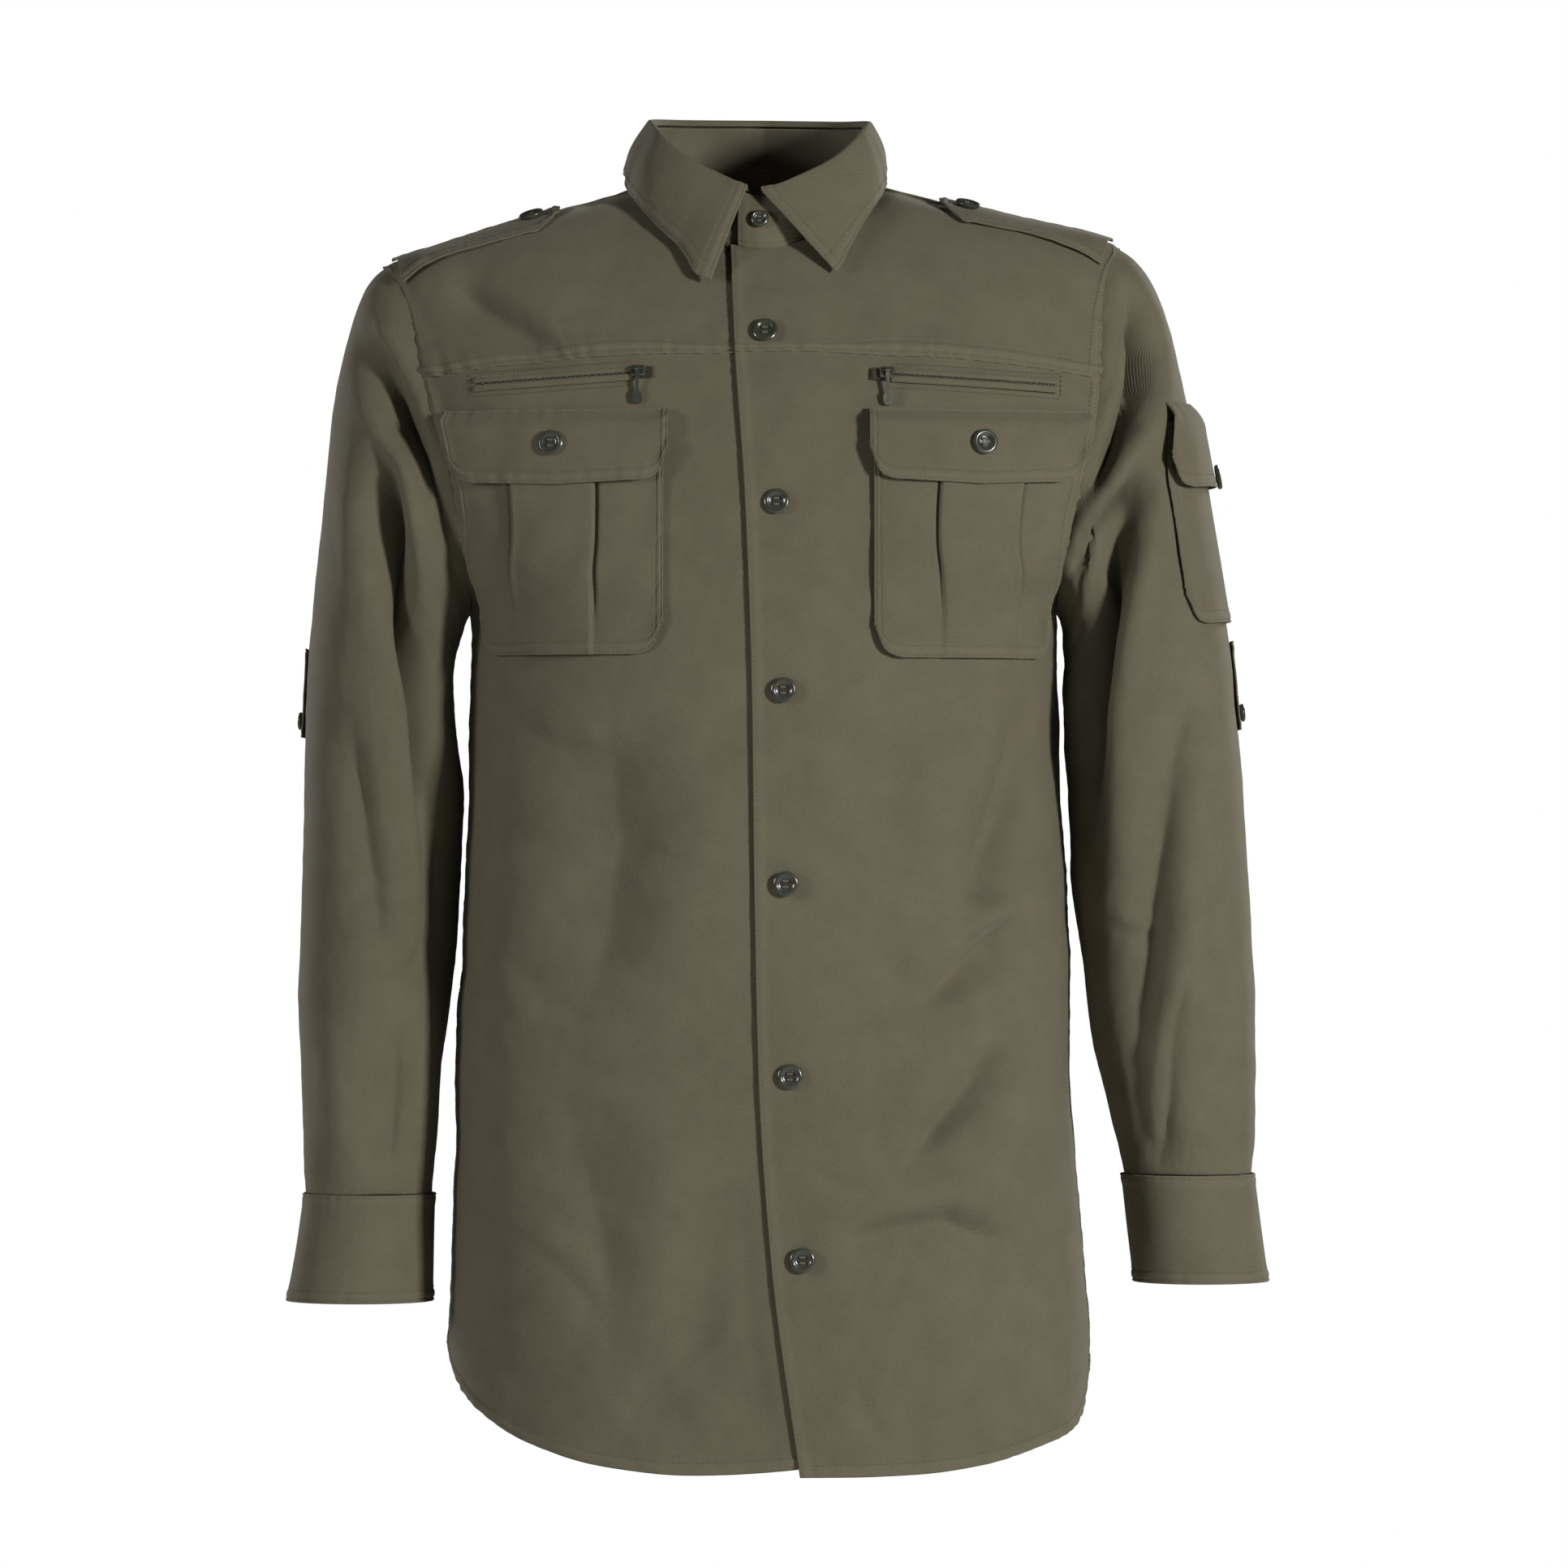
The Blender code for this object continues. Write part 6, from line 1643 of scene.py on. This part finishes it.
def build_welt(side, name, way, length):
    """One of the two rolls of cloth that the zip's teeth show between."""
    shares = np.linspace(WELT_FROM / length, 1.02, 41)
    uneven = 0.12 * waves(shares * length, 131, 8, 30)
    rows = []
    for across in np.linspace(0, 1, 9):
        roll = math.sqrt(max(0.0, 1 - (1 - min(1.0, across / 0.22)) ** 2))
        height = WELT_THICK * (0.25 + 0.75 * roll) * (1 - 0.75 * float(ease(across, 0.55, 1)))
        off = WELT_SLIT + (WELT_WIDE - WELT_SLIT) * across
        rows.append(zip_points(side, shares, way * off, ZIP_LIFT - WELT_SINK + height + uneven)[0])
    show_strip(name, rows, 1.3, "cloth", WELT_WALL)


def build_teeth(side, name, length):
    teeth = bmesh.new()
    for number in range(int((length - WELT_FROM) / TOOTH_PITCH)):
        share = (WELT_FROM + number * TOOTH_PITCH) / length
        aside = np.array(TOOTH_ASIDE * (-1) ** number)
        spot, normal = zip_points(side, np.array(share), aside, ZIP_LIFT + 0.25)
        turn = Vector(normal).to_track_quat("Z", "Y").to_matrix().to_4x4()
        bmesh.ops.create_icosphere(teeth, subdivisions=1, radius=TOOTH_RADIUS * MM,
                                   matrix=Matrix.Translation(Vector(spot) * MM) @ turn
                                   @ Matrix.Diagonal((1.0, 1.3, 0.7, 1)))
    mesh = mesh_of(teeth, name)
    mesh.shade_smooth()
    show(name, mesh, "zip_metal")


def build_zip(side, word):
    """A chest zip's tape, welts, stitched box and teeth, and the metal of its slider and pull."""
    start, end, z_start, z_end = ZIP[side]
    length = math.hypot(end - start, z_end - z_start)
    shares, above = np.meshgrid(np.linspace(0, 1, 41), np.linspace(-1, 1, 5))
    grid, _ = zip_points(side, shares, above * ZIP_TAPE / 2, ZIP_LIFT)
    show_strip("zip_" + word + "_tape", grid, 1.0, "zip", TAPE_THICK, ["zip_" + word])
    for way, level in WELT_LEVELS:
        build_welt(side, "zip_welt_" + word + "_" + level, way, length)

    corners = ((WELT_FROM, BOX_HALF), (length + BOX_PAST, BOX_HALF), (length + BOX_PAST, -BOX_HALF),
               (WELT_FROM, -BOX_HALF))
    for (from_x, from_z), (to_x, to_z) in zip(corners[:-1], corners[1:]):
        share = np.linspace(0, 1, 60)
        shares = (from_x + (to_x - from_x) * share) / length
        above = from_z + (to_z - from_z) * share
        points, normals = zip_points(side, shares, above, 0.0)
        points = points + normals * body_height(points, FRONT)[..., None] + normals * 0.25
        add_stitches("zips", points, normals)

    build_teeth(side, "zip_teeth_" + word, length)
    for name in ("zip_slider_", "zip_pull_"):
        for slot in frame_node(name + word).material_slots:
            slot.link = "OBJECT"
            slot.material = materials["zip_metal"]


def frame_node(name):
    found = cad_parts[name]
    return found[0] if isinstance(found, (list, tuple)) else found


def aim(thing, target):
    way = Vector(target) - thing.location
    thing.rotation_euler = way.to_track_quat("-Z", "Y").to_euler()


def add_light(name, place, size, power):
    data = bpy.data.lights.new(name, "AREA")
    data.shape = "RECTANGLE"
    data.size, data.size_y = size
    data.energy = power
    light = add_object(name, data)
    light.location = place
    aim(light, LIGHT_TARGET)


IMAGE_CENTRE = (0.013, -0.369)
IMAGE_WIDTH = 0.966
CAMERA_AWAY = 5.6
SENSOR = 36.0
AMBIENT = 0.035
FLOOR_RADIUS = 3.0
FLOOR_Z = -1.45
LIGHT_TARGET = (0, 0, -0.4)
# Area lights: place, size and power.
LIGHTS = {
    "key": ((2.9, -2.9, 0.35), (0.5, 0.8), 150),
    "fill": ((-3.5, -2.1, 0.45), (0.8, 1.2), 54),
    "back_left": ((2.3, 3.6, 0.9), (1.0, 1.2), 70),
    "back_right": ((-2.7, 3.3, 0.4), (1.0, 1.2), 48),
}


def build_camera():
    data = bpy.data.cameras.new("camera")
    data.sensor_width = SENSOR
    data.lens = SENSOR * CAMERA_AWAY / IMAGE_WIDTH
    data.clip_end = 100
    camera = add_object("camera", data)
    camera.location = (IMAGE_CENTRE[0], -CAMERA_AWAY, IMAGE_CENTRE[1])
    camera.rotation_euler = (math.pi / 2, 0, 0)
    bpy.context.scene.camera = camera


def build_floor():
    work = bmesh.new()
    bmesh.ops.create_circle(work, cap_ends=True, segments=96, radius=FLOOR_RADIUS,
                            matrix=Matrix.Translation((0, 0, FLOOR_Z)))
    floor = add_object("floor", mesh_of(work, "floor"))
    tree, shader = new_material("floor", 0.9)
    spot = put(tree, "ShaderNodeTexCoord")
    noise = put(tree, "ShaderNodeTexNoise", Vector=spot.outputs["Object"], Scale=3.0)
    colour_surface(tree, shader, noise.outputs[0], (0.60, 0.60, 0.59), (0.66, 0.66, 0.65))
    floor.data.materials.append(materials["floor"])


def build_studio():
    """Camera, floor, a background that is white to the camera and dim to the cloth, and lights."""
    build_camera()
    build_floor()
    world = bpy.data.worlds.new("studio")
    bpy.context.scene.world = world
    world.use_nodes = True
    background = world.node_tree.nodes["Background"]
    background.inputs["Color"].default_value = (1, 1, 1, 1)
    paths = put(world.node_tree, "ShaderNodeLightPath")
    seen = weigh(world.node_tree, paths.outputs["Is Camera Ray"], 1.0 - AMBIENT, AMBIENT)
    world.node_tree.links.new(seen, background.inputs["Strength"])
    bpy.context.scene.view_settings.view_transform = "Standard"
    for name, (place, size, power) in LIGHTS.items():
        add_light(name, place, size, power)


make_materials()
surfaces = build_panels()
build_collar()
arms = build_sleeves(surfaces)
build_epaulettes()
build_pockets()
build_sleeve_trims(arms)
build_buttons()
for zip_side, zip_word in SIDES:
    build_zip(zip_side, zip_word)
for sewn, parts in SEWN_TOGETHER.items():
    show_sewing("stitches_" + sewn, parts)
build_studio()
